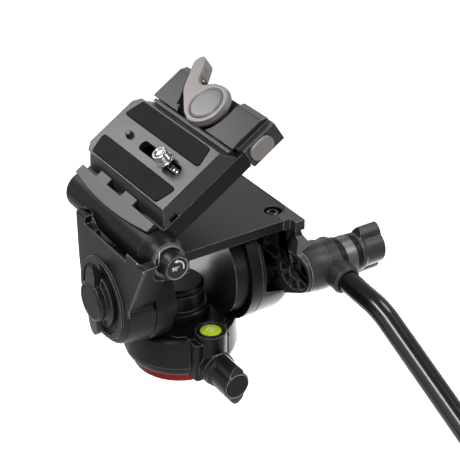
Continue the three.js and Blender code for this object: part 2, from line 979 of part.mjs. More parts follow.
// Sloping top of the plate's rear part, which touches the knuckle
function hipFill() {
  const axis = hingeHeight - tiltHeight;
  const edge = [plateOuter, plateHipHeight - tiltHeight];
  const toEdge = new THREE.Vector2(edge[0] - hingeX, edge[1] - axis);
  const heading = toEdge.angle() - Math.acos(knuckleFrontRadius / toEdge.length());
  const touch = [
    hingeX + Math.cos(heading) * knuckleFrontRadius,
    axis + Math.sin(heading) * knuckleFrontRadius,
  ];
  return pushed('y', [
    edge,
    touch,
    [hingeX, axis],
    [plateOuter, edge[1] - plateHipDepth],
  ], knuckleRear, plateNotchRear);
}

function frameWeb(rear, front) {
  const bottom = webBottom - tiltHeight;
  const top = topPlateTop - topPlateThickness - fitGap - tiltHeight;
  return box(plateInner - overrun, webRight, rear, front, bottom, top);
}

function leftSidePlate() {
  const notch = box(plateOuter - overrun, plateInner + overrun, plateNotchRear, plateNotchFront,
    plateNotchFloor - tiltHeight, plateTopRear - tiltHeight + overrun);
  const guard = ring('x', guardRadius - guardWall, guardRadius,
    plateOuter - guardRise, plateOuter + plateBevel);
  const hollow = box(plateOuter + plateWall, plateInner + overrun, plateNotchRear + plateWall,
    hollowFront, plateWallFloor - tiltHeight, plateTopRear - tiltHeight);
  const shell = join(
    cut(sidePlateCore(), notch, hollow),
    hipFill(),
    guard,
    frameWeb(rearWebRear, rearWebRear + webDepth),
    frameWeb(frontWebRear, frontWebRear + webDepth),
  );
  const trough = hingeCylinder(barrelRadius + troughClearance, barrelRear - fitGap, plateFront + overrun);
  const jawTrough = hingeCylinder(jawTroughRadius, jawTroughRear, plateFront + overrun);
  const rearTrough = hingeCylinder(knuckleFrontRadius, plateRearTop - overrun, knuckleRear);
  const open = cut(shell, trough, jawTrough, rearTrough);
  return cut(
    join(open, knuckle()),
    hingeCylinder(flipButtonRadius + fitGap, knuckleRear - overrun,
      knuckleRear + flipButtonSeat + flipButtonTravel + fitGap, midSides),
    hingeCylinder(hingeShaftRadius + fitGap, knuckleRear, barrelRear + overrun, smallSides),
    disc('x', shaftRadius + fitGap, tiltShaftStart - fitGap, plateInner + overrun, midSides),
    disc('x', knobStudRadius + fitGap, plateOuter - overrun, plateOuter + knobStudLength, smallSides),
  );
}

const tiltShaftStart = plateOuter + knobStudLength + drumEndWall + fitGap;

place(tiltGroup, 'left_side_plate', leftSidePlate(), castBlack);
knobAt(tiltGroup, 'tilt_knob',
  knobSize(tiltKnobBody, tiltKnobFlange, tiltKnobReach, tiltKnobLength, tiltKnobCap),
  [quarter, -quarter, 0], [tiltKnobBase - fitGap, 0, 0], [satinBlack, softBlack]);

// Outline of the top plate, grown by a clearance
function topPlateOutline(grow) {
  return rounded([
    [hingeX, topPlateRear - grow, 0],
    [earLeft + grow, topPlateRear - grow, 0],
    [earLeft + grow, -earFront - grow, 0],
    [earCornerX + grow, -earCornerRear - grow, topPlateCorner],
    [earCornerX + grow + topPlateCorner, -torxRear + grow, topPlateCorner],
    [topPlateRight - earInset + grow, topPlateFront + grow, topPlateCorner],
    [hingeX, topPlateFront + grow, 0],
  ]);
}

// Top plate
function topPlate() {
  const top = topPlateTop - tiltHeight;
  const under = top - topPlateThickness;
  const slab = pushed('z', topPlateOutline(0), under, top);
  const screwSeat = moved(disc('z', torxRadius, top - torxDepth, top + overrun, midSides),
    torxX, -torxRear, 0);
  return cut(
    slab,
    hingeCylinder(barrelRadius + troughClearance, topPlateRear - overrun, topPlateFront + overrun),
    disc('x', leftDrumRadius + fitGap, leftDrumOuter, leftDrumInner + fitGap, fineSides),
    turned('x', [
      [0, rightDrumInner - slideGap],
      [rightDrumInnerRadius + fitGap, rightDrumInner - slideGap],
      [rightDrumRadius + fitGap, flangeInner - fitGap],
      [0, flangeInner - fitGap],
    ], fineSides),
    screwSeat,
  );
}

function bracketScrew() {
  const seat = topPlateTop - tiltHeight - torxDepth + fitGap;
  const body = disc('z', torxHeadRadius, seat, seat + torxHeadHeight, smallSides);
  return moved(body, torxX, -torxRear, 0);
}

place(tiltGroup, 'top_plate', topPlate(), castBlack);
place(tiltGroup, 'bracket_screw', bracketScrew(), steel);

// Drum flange and cover under the top plate
const armAngle = bracketTangent();

function underPlate(solid) {
  const flat = drumTopFlat - tiltHeight;
  const tall = flangeRadius + overrun;
  return cut(solid, box(flangeSkirtStart - overrun, coverOuter + overrun, -tall, tall, flat, tall));
}

function drumFlange() {
  return underPlate(join(
    ring('x', shaftRadius + fitGap, flangeRadius, flangeInner, flangeOuter, fineSides),
    ring('x', flangeSkirtInner, flangeRadius, flangeSkirtStart, flangeInner + fitGap, fineSides),
  ));
}

function coverProfile(clearance) {
  const radius = coverRadius + clearance;
  const outer = coverOuter + clearance;
  const start = flangeOuter + fitGap - clearance - clearance;
  const profile = [[0, start], [radius, start], [radius, outer - coverRound]];
  for (const [s, r] of arc(outer - coverRound, radius - coverRound, coverRound, 90, 0, cornerSteps)) {
    profile.push([r, s]);
  }
  profile.push([0, outer]);
  return profile;
}

function drumCover() {
  const inside = coverRadius - coverWall;
  const floor = coverOuter - coverWall;
  const hollow = turned('x', [
    [0, flangeOuter - overrun],
    [inside, flangeOuter - overrun],
    [inside, coverOuter - coverRound],
    [inside - coverRound, floor],
    [0, floor],
  ], fineSides);
  const shell = cut(turned('x', coverProfile(0), fineSides), hollow);
  const bore = disc('x', shaftRadius + fitGap, flangeOuter, coverOuter + overrun, midSides);
  const capped = join(shell, coverRoof());
  return cut(underPlate(capped), bore, coverWindow(0));
}

// Closes the cover where the flat under the top plate opens its hollow
function coverRoof() {
  const flat = drumTopFlat - tiltHeight;
  const inside = coverRadius - coverWall;
  const reach = Math.sqrt(inside * inside - (flat - coverWall) * (flat - coverWall));
  return box(flangeOuter + fitGap, coverOuter - coverRound, -reach, reach, flat - coverWall, flat);
}

place(tiltGroup, 'drum_flange', drumFlange(), satinBlack);
place(tiltGroup, 'drum_cover', drumCover(), castBlack);

// Right bracket: a ribbed web that ends in a spoked wheel round the rosette boss
// Direction of the straight lower edge that touches the bracket's foot and its wheel
function bracketTangent() {
  const centre = new THREE.Vector2(-rosetteRear, rosetteHeight - tiltHeight);
  const lean = Math.acos((bracketFootRadius - wheelRadius) / centre.length());
  return (centre.angle() + lean) / degree;
}

function bracketOutline() {
  const z = tiltHeight;
  const top = topPlateTop - z;
  const wheel = arc(-rosetteRear, rosetteHeight - z, wheelRadius, wheelArcStart, armAngle, cornerSteps * 3);
  const foot = arc(0, 0, bracketFootRadius, armAngle, 360, cornerSteps * 3);
  return [
    [topPlateFront, top],
    [-bracketRearTop, top],
    [-bracketRearTop, bracketTopStep - z],
    [-bracketNeckRear, bracketNeckTop - z],
    [-bracketNeckRear - fitGap, bracketNeckHeight - z],
    ...wheel,
    ...foot,
    [topPlateFront, webBottom - z],
  ];
}

// Leans a solid so that its X falls towards the lens side, as the bracket's inner face does
function leaned(solid) {
  const shear = new THREE.Matrix4().set(
    1, -bracketLean, 0, -bracketLean * rosetteRear,
    0, 1, 0, 0,
    0, 0, 1, 0,
    0, 0, 0, 1,
  );
  solid.applyMatrix4(shear);
  return solid;
}

function pocketFrom(outline) {
  const face = bracketFaceAtWheel;
  return leaned(pushed('x', outline, face - overrun, face + bracketPocketDepth));
}

function wheelPocket(index) {
  const inner = wheelHubRadius;
  const outer = wheelRadius - wheelRim;
  const share = 360 / spokeCount;
  const start = index * share + share * half;
  const innerGap = Math.asin(spokeWidth * half / inner) / degree;
  const outerGap = Math.asin(spokeWidth * half / outer) / degree;
  const centre = [-rosetteRear, rosetteHeight - tiltHeight];
  return pocketFrom([
    ...arc(...centre, outer, start + outerGap, start + share - outerGap, cornerSteps),
    ...arc(...centre, inner, start + share - innerGap, start + innerGap, cornerSteps),
  ]);
}

// Pocket between two neighbouring ribs, outside the wheel's rim
function ribPocket(index) {
  const inner = wheelRadius + ribWidth;
  const [high, low] = [ribHeadings[index], ribHeadings[index + 1]];
  const innerGap = Math.asin(ribWidth * half / inner) / degree;
  const outerGap = Math.asin(ribWidth * half / ribReach) / degree;
  const centre = [-rosetteRear, rosetteHeight - tiltHeight];
  return pocketFrom([
    ...arc(...centre, ribReach, low + outerGap, high - outerGap, cornerSteps),
    ...arc(...centre, inner, high - innerGap, low + innerGap, cornerSteps),
  ]);
}

// Opening in the cover's rear, over the arm's straight lower edge, which climbs towards the flange
function coverWindow(gap) {
  const normal = [Math.cos(armAngle * degree), Math.sin(armAngle * degree)];
  const along = [normal[1], -normal[0]];
  const foot = bracketFootRadius + fitGap - gap;
  const at = (a) => [normal[0] * foot + along[0] * a, normal[1] * foot + along[1] * a];
  const front = (-windowFront - gap - normal[0] * foot) / along[0];
  const rear = (-coverRadius - overrun + gap - normal[0] * foot) / along[0];
  const outline = [
    at(front),
    [-windowFront - gap, windowTop - gap],
    [-coverRadius - overrun + gap, windowTop - gap],
    at(rear),
  ];
  const span = coverOuter - windowLeft;
  const opening = pushed('x', outline, windowLeft + gap, coverOuter + overrun);
  const shear = new THREE.Matrix4().set(
    1, 0, 0, 0,
    0, 1, 0, 0,
    -windowRise / span, 0, 1, windowRise / span * coverOuter,
    0, 0, 0, 1,
  );
  opening.applyMatrix4(shear);
  const above = box(0, coverOuter + bracketOuter, -coverRadius - bracketOuter, coverRadius,
    windowTop - gap, coverRadius + overrun);
  return cut(opening, above);
}

// Outer side of the bracket: it steps out from its top block down to the boss
function shoulderCut() {
  const high = shoulderHigh - tiltHeight;
  const low = shoulderLow - tiltHeight;
  const top = topPlateTop - tiltHeight + overrun;
  const out = bracketOuter + bossFace;
  return pushed('y', [
    [shoulderTop, top],
    [shoulderTop, high],
    [(shoulderTop + shoulderTop + bracketOuter) / 3, (high + low) * half],
    [bracketOuter + fitGap, low],
    [out, low],
    [out, top],
  ], -rosetteRear - bossRadius - overrun, topPlateFront + overrun);
}

// Top corner of the bracket that fills the plate's cut corner, flush with it
function bracketEar() {
  const top = topPlateTop - tiltHeight;
  const under = top - topPlateThickness;
  return pushed('z', [
    [earLeft, topPlateRear],
    [blockLeft, topPlateRear],
    [blockLeft, -bracketRearTop],
    [shoulderTop, -bracketRearTop],
    [shoulderTop, -windowFront],
    [earLeft, -windowFront],
  ], under, top);
}

function rightBracket() {
  const z = tiltHeight;
  const centreZ = rosetteHeight - z;
  const arm = pushed('x', bracketOutline(), bracketInner, bracketOuter);
  const front = leaned(box(-bracketInner, bracketFaceAtWheel, -bossFace, bossFace, -bossFace, bossFace));
  const block = box(bracketInner - overrun, blockLeft, -bracketRearTop - overrun, topPlateRear, bracketNeckHeight - z,
    topPlateTop - z + overrun);
  const plate = cut(arm, front, block, neckRamp());
  const bossBody = disc('x', bossRadius, bracketWebInner, bossFace - rosetteDepth, midSides);
  const boss = moved(bossBody, 0, -rosetteRear, centreZ);
  const pockets = [];
  for (let i = 0; i < spokeCount; i++) pockets.push(wheelPocket(i));
  for (let i = 0; i + 1 < ribHeadings.length; i++) pockets.push(ribPocket(i));
  const topPlateRoom = pushed('z', topPlateOutline(fitGap), topPlateTop - topPlateThickness - fitGap - z,
    topPlateTop - z + overrun);
  const bolt = moved(disc('x', boltRadius + fitGap, bracketInner - overrun, bossFace + overrun, smallSides), 0,
    -rosetteRear, centreZ);
  const teeth = moved(rosette(bossFace - rosetteDepth - fitGap, bossFace), 0, -rosetteRear, centreZ);
  return cut(
    join(plate, boss, teeth, bracketEar()),
    ...pockets,
    shoulderCut(),
    cut(turned('x', coverProfile(fitGap), fineSides), coverWindow(fitGap)),
    topPlateRoom,
    bolt,
  );
}

// The bracket's inner face leans outward above the wheel, up to the top plate
function neckRamp() {
  const foot = bracketRampFoot - tiltHeight;
  const head = topPlateTop - topPlateThickness - fitGap - tiltHeight;
  const deep = shoulderTop - bracketThinnest;
  return pushed('y', [
    [bracketInner - overrun, foot],
    [bracketFaceAtWheel, foot],
    [deep, foot + deep - bracketFaceAtWheel],
    [deep, head],
    [bracketInner - overrun, head],
  ], -rosetteRear - wheelRadius - overrun, -windowFront - ribReach * half);
}

// Face teeth: a ring whose face rises and falls round the axis
function rosette(from, crest, flip = 1) {
  const inner = bossRadius * half;
  const outer = bossRadius;
  const valley = crest - flip * rosetteDepth;
  const positions = [];
  const index = [];
  const count = rosetteTeeth + rosetteTeeth;
  for (let i = 0; i < count; i++) {
    const angle = i / count * 360 * degree;
    const level = i % 2 === 0 ? crest : valley;
    for (const r of [inner, outer]) {
      positions.push(level, r * Math.cos(angle), r * Math.sin(angle));
      positions.push(from, r * Math.cos(angle), r * Math.sin(angle));
    }
  }
  const at = (i, k) => (i % count) * 4 + k;
  for (let i = 0; i < count; i++) {
    const j = i + 1;
    const sides = [[0, 2], [2, 3], [3, 1], [1, 0]];
    for (const [a, b] of sides) {
      index.push(at(i, a), at(j, b), at(i, b));
      index.push(at(i, a), at(j, a), at(j, b));
    }
  }
  const geometry = new THREE.BufferGeometry();
  geometry.setAttribute('position', new THREE.Float32BufferAttribute(positions, 3));
  geometry.setIndex(index);
  return outward(geometry);
}

place(tiltGroup, 'right_bracket', rightBracket(), castBlack);

// Tilt shafts, hinge shaft and its end cap
const leftShaftEnd = leftDrumInner - drumEndWall - fitGap;
const rightShaftStart = rightBushStart;

place(tiltGroup, 'left_tilt_shaft', disc('x', shaftRadius, tiltShaftStart, leftShaftEnd, smallSides), steel);
place(tiltGroup, 'right_tilt_shaft', disc('x', shaftRadius, rightShaftStart, coverOuter, smallSides), steel);
place(tiltGroup, 'hinge_shaft', hingeCylinder(hingeShaftRadius, hingeShaftRear, hingeShaftFront, smallSides), steel);

function hingeCap() {
  const from = hingeShaftFront + fitGap;
  return hingeCylinder(hingeCapRadius, from, from + hingeCapThickness, smallSides);
}

place(tiltGroup, 'hinge_cap', hingeCap(), satinBlack);

// Flip button: a sprung cap that slides on the rear end of the hinge shaft
function flipButton() {
  const front = knuckleRear + flipButtonSeat;
  const body = turned('y', [
    [0, flipButtonRear + flipButtonRecess],
    [flipButtonRadius - flipButtonRim, flipButtonRear + flipButtonRecess],
    [flipButtonRadius - flipButtonRim, flipButtonRear],
    [flipButtonRadius - flipButtonRound, flipButtonRear],
    [flipButtonRadius, flipButtonRear + flipButtonRound],
    [flipButtonRadius, front],
    [hingeShaftRadius + slideGap, front],
    [hingeShaftRadius + slideGap, flipButtonRear + flipButtonWall],
    [0, flipButtonRear + flipButtonWall],
  ]);
  return moved(body, hingeX, 0, hingeHeight - tiltHeight);
}

place(tiltGroup, 'flip_button', flipButton(), satinBlack);

// Flip platform: the hinge barrel and the deck that the camera plate sits on
function platform() {
  const barrel = turned('y', [
    [0, barrelRear],
    [barrelRadius, barrelRear],
    [barrelRadius, barrelFront - barrelRound],
    [barrelRadius - barrelRound, barrelFront],
    [0, barrelFront],
  ], fineSides);
  const deck = box(0, deckRight, barrelRear, deckFront, deckUnderside, deckTop);
  const capRoom = disc('y', hingeCapRadius + fitGap, hingeShaftFront, barrelFront + overrun, midSides);
  const bore = disc('y', hingeShaftRadius + fitGap, barrelRear - overrun, barrelFront + overrun, smallSides);
  const leverRoom = disc('z', leverRadius + slideGap, recessFloor, deckTop + overrun, midSides);
  leverRoom.translate(leverX, jawCentre + leverAhead, 0);
  return cut(join(barrel, deck), capRoom, bore, leverRoom);
}

place(flipGroup, 'platform', platform(), castBlack);

// Shape of the camera plate's section, grown by a clearance
function dovetailSection(gap) {
  return [
    [cameraPlateLeft - gap, cameraPlateTop],
    [cameraPlateLeft - gap, cameraPlateTop - cameraPlateEdge],
    [dovetailLeft - gap, plateSeat + dovetailFoot + gap],
    [dovetailLeft - gap, plateSeat - gap],
    [dovetailRight + gap, plateSeat - gap],
    [dovetailRight + gap, plateSeat + dovetailFoot + gap],
    [cameraPlateRight + gap, cameraPlateTop - cameraPlateEdge],
    [cameraPlateRight + gap, cameraPlateTop],
  ];
}

// Fixed jaw: a curved back and teeth that hook over the dovetail
function fixedJaw() {
  const outline = [];
  for (let i = 0; i <= jawSteps; i++) {
    const share = i / jawSteps * 2 - 1;
    const back = jawOuterMid + (jawOuterEnd - jawOuterMid) * share * share;
    outline.push([back, jawCentre + jawHalfLength * share]);
  }
  const rear = jawCentre - jawHalfLength;
  const front = jawCentre + jawHalfLength;
  outline.push([jawInner, front]);
  for (const [a, b] of [[farToothFront, farToothRear], [nearToothFront, nearToothRear]]) {
    outline.push([jawInner, jawCentre + a]);
    outline.push([jawTooth, jawCentre + a]);
    outline.push([jawTooth, jawCentre + b]);
    outline.push([jawInner, jawCentre + b]);
  }
  outline.push([jawInner, rear]);
  const body = pushed('z', outline, 0, jawTop);
  const plateRoom = pushed('y', dovetailSection(fitGap), rear - overrun, front + overrun);
  return cut(
    body,
    disc('y', barrelRadius + fitGap, rear - overrun, front + overrun, fineSides),
    box(jawOuterMid - overrun, dovetailRight, rear - overrun, front + overrun, -overrun, deckTop + fitGap),
    plateRoom,
  );
}

place(flipGroup, 'fixed_jaw', fixedJaw(), jawGrey);

// Camera plate: a dovetail section with a slot, a channel, pad recesses and a pin hole
const plateMiddle = (cameraPlateLeft + cameraPlateRight) * half;

function stadium(x, y0, y1, halfWidth) {
  return [
    ...arc(x, y1 - halfWidth, halfWidth, 0, 180, cornerSteps + cornerSteps),
    ...arc(x, y0 + halfWidth, halfWidth, 180, 360, cornerSteps + cornerSteps),
  ];
}

function padOutline(side, grow) {
  const inner = plateMiddle + side * (padInner - grow);
  const outer = plateMiddle + side * (padOuter + grow);
  const long = padHalfLength + grow;
  const cutBack = long - padCornerCut;
  return rounded([
    [inner, jawCentre - long, padCornerCut * half],
    [outer, jawCentre - cutBack, padCornerCut * half],
    [outer, jawCentre + cutBack, padCornerCut * half],
    [inner, jawCentre + long, padCornerCut * half],
  ], 3);
}

function cameraPlate() {
  const section = dovetailSection(0);
  const body = pushed('y', section, cameraPlateRear, cameraPlateFront);
  const slot = stadium(plateMiddle, slotCentre + slotRear, slotCentre + slotFront, slotHalfWidth);
  const channelRear = slotCentre + slotRear - channelEndRoom;
  const channelFront = slotCentre + slotFront + channelEndRoom;
  const corners = [cameraPlateLeft, cameraPlateRight].map((x, i) => {
    const inward = i === 0 ? plateCornerCut : -plateCornerCut;
    const outward = i === 0 ? dovetailLeft - overrun : dovetailRight + overrun;
    return pushed('z', [
      [x + inward, cameraPlateFront + overrun],
      [x + inward, cameraPlateFront],
      [x, cameraPlateFront - plateCornerCut],
      [outward, cameraPlateFront - plateCornerCut],
      [outward, cameraPlateFront + overrun],
    ], plateSeat - overrun, cameraPlateTop + overrun);
  });
  return cut(
    body,
    pushed('z', slot, plateSeat, cameraPlateTop + overrun),
    box(plateMiddle - channelHalfWidth, plateMiddle + channelHalfWidth, channelRear, channelFront,
      plateSeat - overrun, channelTop),
    pushed('z', padOutline(-1, fitGap), cameraPlateTop - padRecess, cameraPlateTop + overrun),
    pushed('z', padOutline(1, fitGap), cameraPlateTop - padRecess, cameraPlateTop + overrun),
    moved(disc('z', pinRadius + fitGap, plateSeat - overrun, cameraPlateTop + overrun, smallSides), plateMiddle,
      jawCentre + pinAhead, 0),
    moved(disc('z', pinHeadRadius + fitGap, plateSeat - overrun, cameraPlateTop - pinHeadHeight, smallSides),
      plateMiddle, jawCentre + pinAhead, 0),
    ...corners,
  );
}

function platePad(side) {
  return pushed('z', padOutline(side, 0), cameraPlateTop - padRecess + fitGap, cameraPlateTop + padRise);
}

place(flipGroup, 'camera_plate', cameraPlate(), plateGrey);
place(flipGroup, 'plate_pad_left', platePad(-1), padRubber);
place(flipGroup, 'plate_pad_right', platePad(1), padRubber);

// Video pin: a headed pin that rises through the plate
function videoPin() {
  const headTop = cameraPlateTop - pinHeadHeight - fitGap;
  const headBottom = headTop - pinHeadHeight;
  const body = turned('z', [
    [0, headBottom],
    [pinHeadRadius, headBottom],
    [pinHeadRadius, headTop],
    [pinRadius, headTop],
    [pinRadius, cameraPlateTop + pinRise - fitGap],
    [pinRadius - fitGap - fitGap, cameraPlateTop + pinRise],
    [0, cameraPlateTop + pinRise],
  ], smallSides);
  return moved(body, plateMiddle, jawCentre + pinAhead, 0);
}

place(flipGroup, 'video_pin', videoPin(), softBlack);

// Slider in the slot and the camera screw that turns in it
function screwSlider() {
  const outline = stadium(plateMiddle, slotCentre + sliderRear, slotCentre + sliderFront, sliderHalfWidth);
  const body = pushed('z', outline, channelTop - fitGap - fitGap, sliderTop);
  const bore = disc('z', screwNeckRadius + fitGap, channelTop - overrun, sliderTop + overrun, smallSides);
  return cut(body, moved(bore, plateMiddle, slotCentre + screwAhead, 0));
}

function cameraScrew() {
  const profile = [
    [0, screwHeadBottom],
    [screwHeadRadius, screwHeadBottom],
    [screwHeadRadius, screwHeadTop],
    [screwNeckRadius, screwHeadTop],
    [screwNeckRadius, screwTipBottom - fitGap],
    [screwShoulderRadius, screwTipBottom - fitGap],
    [screwShoulderRadius, screwShoulderTop],
  ];
  const pitch = (screwTipTop - screwShoulderTop) / (screwThreadCount + screwThreadCount + 1);
  for (let i = 0; i <= screwThreadCount + screwThreadCount; i++) {
    const radius = i % 2 === 0 ? screwTipRadius : screwTipRadius - screwThreadDepth;
    profile.push([radius, screwShoulderTop + pitch * (i + half * half)]);
    profile.push([radius, screwShoulderTop + pitch * (i + half * half + half)]);
  }
  profile.push([screwTipRadius - screwThreadDepth, screwTipTop]);
  profile.push([0, screwTipTop]);
  return moved(turned('z', profile, midSides), plateMiddle, slotCentre + screwAhead, 0);
}

place(flipGroup, 'screw_slider', screwSlider(), steel);
place(flipGroup, 'camera_screw', cameraScrew(), steel);

// Clamp housing: two blocks with a round recess for the lever between them
function clampHousing() {
  const y0 = jawCentre - clampHalfLength;
  const y1 = jawCentre + clampHalfLength;
  const bevelBottom = clampTop - clampBevelDrop;
  const upper = pushed('y', [
    [clampInner, deckTop + fitGap],
    [deckRight + fitGap, deckTop + fitGap],
    [deckRight + fitGap, deckUnderside],
    [clampSkirtOuter, deckUnderside],
    [clampSkirtOuter, bevelBottom],
    [clampOuter, clampTop],
    [clampInner, clampTop],
  ], y0, y1);
  const rearBlock = pushed('y', [
    [deckRight + fitGap, deckUnderside],
    [clampSkirtOuter, deckUnderside],
    [clampSkirtOuter, clampBlockTop],
    [deckRight + fitGap, clampBlockTop],
  ], jawCentre + clampBlockRear, y0 + overrun);
  const pivotY = jawCentre + leverAhead;
  const recess = moved(disc('z', recessRadius, recessFloor, clampTop + overrun, fineSides), leverX, pivotY, 0);
  const swing = pushed('z', [
    [leverX, pivotY],
    [leverX - recessRadius * half, pivotY + recessRadius],
    [plateMiddle + recessFrontU, jawCentre + recessFrontV],
    [clampSkirtOuter + overrun, y1 - (clampSkirtOuter - clampOuter)],
    [clampSkirtOuter + overrun, pivotY - recessRadius],
    [leverX, pivotY - recessRadius],
  ], recessFloor, clampTop + overrun);
  const barRoom = box(clampInner - overrun, jawBarPocket, y0 - overrun, y1 + overrun, deckTop, barTop + fitGap);
  return cut(join(upper, rearBlock), recess, swing, barRoom, safetyPocket());
}

function safetySection(grow) {
  const flat = safetyHalfWidth - safetyRadius;
  const r = safetyRadius + grow;
  return [
    ...arc(safetyX + flat, safetyHeight, r, -90, 90, cornerSteps + cornerSteps),
    ...arc(safetyX - flat, safetyHeight, r, 90, 270, cornerSteps + cornerSteps),
  ];
}

function safetyPocket() {
  const rear = jawCentre + clampBlockRear;
  const front = jawCentre + safetyRear + safetyLength + safetyTravel + fitGap;
  return pushed('y', safetySection(fitGap), rear - overrun, front);
}

function safetyButton() {
  const rear = jawCentre + safetyRear;
  return pushed('y', safetySection(0), rear, rear + safetyLength);
}

place(flipGroup, 'clamp_housing', clampHousing(), clampGrey);
place(flipGroup, 'safety_button', safetyButton(), leverGrey);

// Lever: a round boss with a hooked arm, in its own frame about the pivot
function leverOutline() {
  const direction = leverAngle * degree;
  const along = new THREE.Vector2(Math.cos(direction), Math.sin(direction));
  const across = new THREE.Vector2(-along.y, along.x);
  const tip = along.clone().multiplyScalar(leverReach - leverTipRadius);
  const wide = leverArmWidth * half;
  const at = (a, b) => [tip.x + across.x * a + along.x * b, tip.y + across.y * a + along.y * b];
  const root = (a) => [across.x * a, across.y * a];
  return rounded([
    [...root(-wide), 0],
    [...at(-wide, leverTipRadius * half), leverTipRadius],
    [...at(0, leverTipRadius), leverTipRadius],
    [...at(wide, leverTipRadius * half), leverTipRadius],
    [...root(wide), 0],
  ]);
}

function lever() {
  const bossBody = disc('z', leverRadius, leverBottom, leverTop, fineSides);
  const arm = pushed('z', leverOutline(), leverArmBottom, leverTop);
  const away = leverRadius + overrun;
  const under = cut(
    pushed('z', [[0, 0], ...arc(0, 0, away, 140, 296, cornerSteps * 3)], leverBottom - overrun, leverSkirtBottom),
    disc('z', leverCamRadius, leverBottom - overrun - overrun, leverTop, midSides),
  );
  return cut(
    join(bossBody, arm),
    under,
    disc('z', pivotRadius + fitGap, leverBottom - overrun, leverTop + overrun, smallSides),
    disc('z', leverCapRadius + fitGap, leverTop - leverCapDepth, leverTop + overrun, midSides),
  );
}

function leverCap() {
  return disc('z', leverCapRadius, leverTop - leverCapDepth + fitGap, leverTop + leverCapRise, midSides);
}

function leverPivot() {
  return disc('z', pivotRadius, recessFloor + fitGap, leverTop - leverCapDepth - fitGap, smallSides);
}

place(leverGroup, 'clamp_lever', lever(), leverGrey);
place(leverGroup, 'lever_cap', leverCap(), capGrey);
place(leverGroup, 'lever_pivot', leverPivot(), steel);

// Sliding jaw bar beside the plate's right dovetail
function clampBar() {
  const y0 = jawCentre - barHalfLength;
  const y1 = jawCentre + barHalfLength;
  const body = box(barInner, barOuter, y0, y1, deckTop + fitGap, barTop);
  return cut(body, pushed('y', dovetailSection(fitGap), y0 - overrun, y1 + overrun));
}

place(flipGroup, 'clamp_bar', clampBar(), clampGrey);

// Pan bar clamp with its socket, rings and bolt, in the frame of the rosette axis
function barClamp() {
  const hub = turned('x', [
    [0, clampHubInner + rosetteDepth],
    [bossRadius, clampHubInner + rosetteDepth],
    [clampHubOuterRadius, clampHubOuter - rosetteDepth],
    [clampHubOuterRadius - rosetteDepth, clampHubOuter],
    [0, clampHubOuter],
  ]);
  const teeth = rosette(clampHubInner + rosetteDepth + fitGap, clampHubInner, -1);
  const socketBody = turned('z', [
    [0, 0],
    [socketRadius, 0],
    [socketRadius, socketReach - socketRound],
    [socketRadius - socketRound, socketReach],
    [0, socketReach],
  ]);
  const socket = cut(
    onBarLine(socketBody),
    turned('x', [
      [0, clampHubOuter + fitGap],
      [collarRadius + fitGap, clampHubOuter + fitGap],
      [collarRadius + fitGap, knobCollarOuter],
      [0, knobCollarOuter],
    ]),
    turned('x', [
      [0, bossFace - socketRadius],
      [bossRadius + fitGap, bossFace - socketRadius],
      [bossRadius + fitGap, clampHubInner + rosetteDepth + fitGap],
      [0, clampHubInner + rosetteDepth + fitGap],
    ]),
  );
  const bore = onBarLine(disc('z', barRadius + fitGap, barInset - fitGap, socketReach + overrun, midSides));
  const bolt = disc('x', boltRadius + fitGap, clampHubInner - overrun, clampHubOuter + overrun, smallSides);
  return cut(join(hub, teeth, socket), bore, bolt);
}

// Stands a solid that points along +Z onto the line of the pan bar
function onBarLine(solid) {
  solid.rotateX(quarter);
  solid.rotateX(barPitch * degree);
  return solid.translate(socketX, 0, 0);
}

// Corner points of the bar's centre line: the bend lies between two straight runs
function panBarLine() {
  const pitch = barPitch * degree;
  const bend = barBendAngle * degree;
  const dir = (angle) => new THREE.Vector3(0, -Math.cos(angle), -Math.sin(angle));
  const tangent = barBendRadius * Math.tan(bend * half);
  const bendStart = new THREE.Vector3(socketX, 0, 0).addScaledVector(dir(pitch), barBendStart);
  const corner = bendStart.clone().addScaledVector(dir(pitch), tangent);
  const bendEnd = corner.clone().addScaledVector(dir(pitch + bend), tangent);
  return { bendStart, corner, bendEnd, first: dir(pitch), last: dir(pitch + bend) };
}

// Sweeps the bend, then draws its two ends out into the straight runs
function panBarTube() {
  const { bendStart, corner, bendEnd, first, last } = panBarLine();
  const path = new THREE.QuadraticBezierCurve3(bendStart, corner, bendEnd);
  const section = new THREE.Shape(circle(0, 0, barRadius).map(([a, b]) => new THREE.Vector2(a, b)));
  section.holes.push(new THREE.Path(circle(0, 0, barRadius - barWall).map(([a, b]) => new THREE.Vector2(a, b))));
  const body = bare(new THREE.ExtrudeGeometry(section, { steps: barBendSteps, extrudePath: path }));
  const p = body.attributes.position;
  const v = new THREE.Vector3();
  for (let i = 0; i < p.count; i++) {
    v.fromBufferAttribute(p, i);
    if (v.clone().sub(bendStart).dot(first) < fitGap) v.addScaledVector(first, barInset - barBendStart);
    if (v.clone().sub(bendEnd).dot(last) > -fitGap) v.addScaledVector(last, barTailLength);
    p.setXYZ(i, v.x, v.y, v.z);
  }
  return outward(body);
}

// Rubber grip and end cap on the straight tail of the bar
function onBarTail(solid, along) {
  const { bendEnd, last } = panBarLine();
  const turn = new THREE.Quaternion().setFromUnitVectors(new THREE.Vector3(0, 0, 1), last);
  solid.applyQuaternion(turn);
  const at = bendEnd.clone().addScaledVector(last, along);
  return solid.translate(at.x, at.y, at.z);
}

function barGrip() {
  const inner = barRadius + fitGap;
  const profile = [[inner, 0], [gripRadius - gripRibDepth, 0]];
  const pitch = gripLength / gripRibCount;
  for (let i = 0; i < gripRibCount; i++) {
    profile.push([gripRadius, pitch * (i + half)]);
    profile.push([gripRadius - gripRibDepth, pitch * (i + 1)]);
  }
  profile.push([inner, gripLength]);
  return onBarTail(turned('z', profile, smallSides), barTailLength - gripOverlap);
}

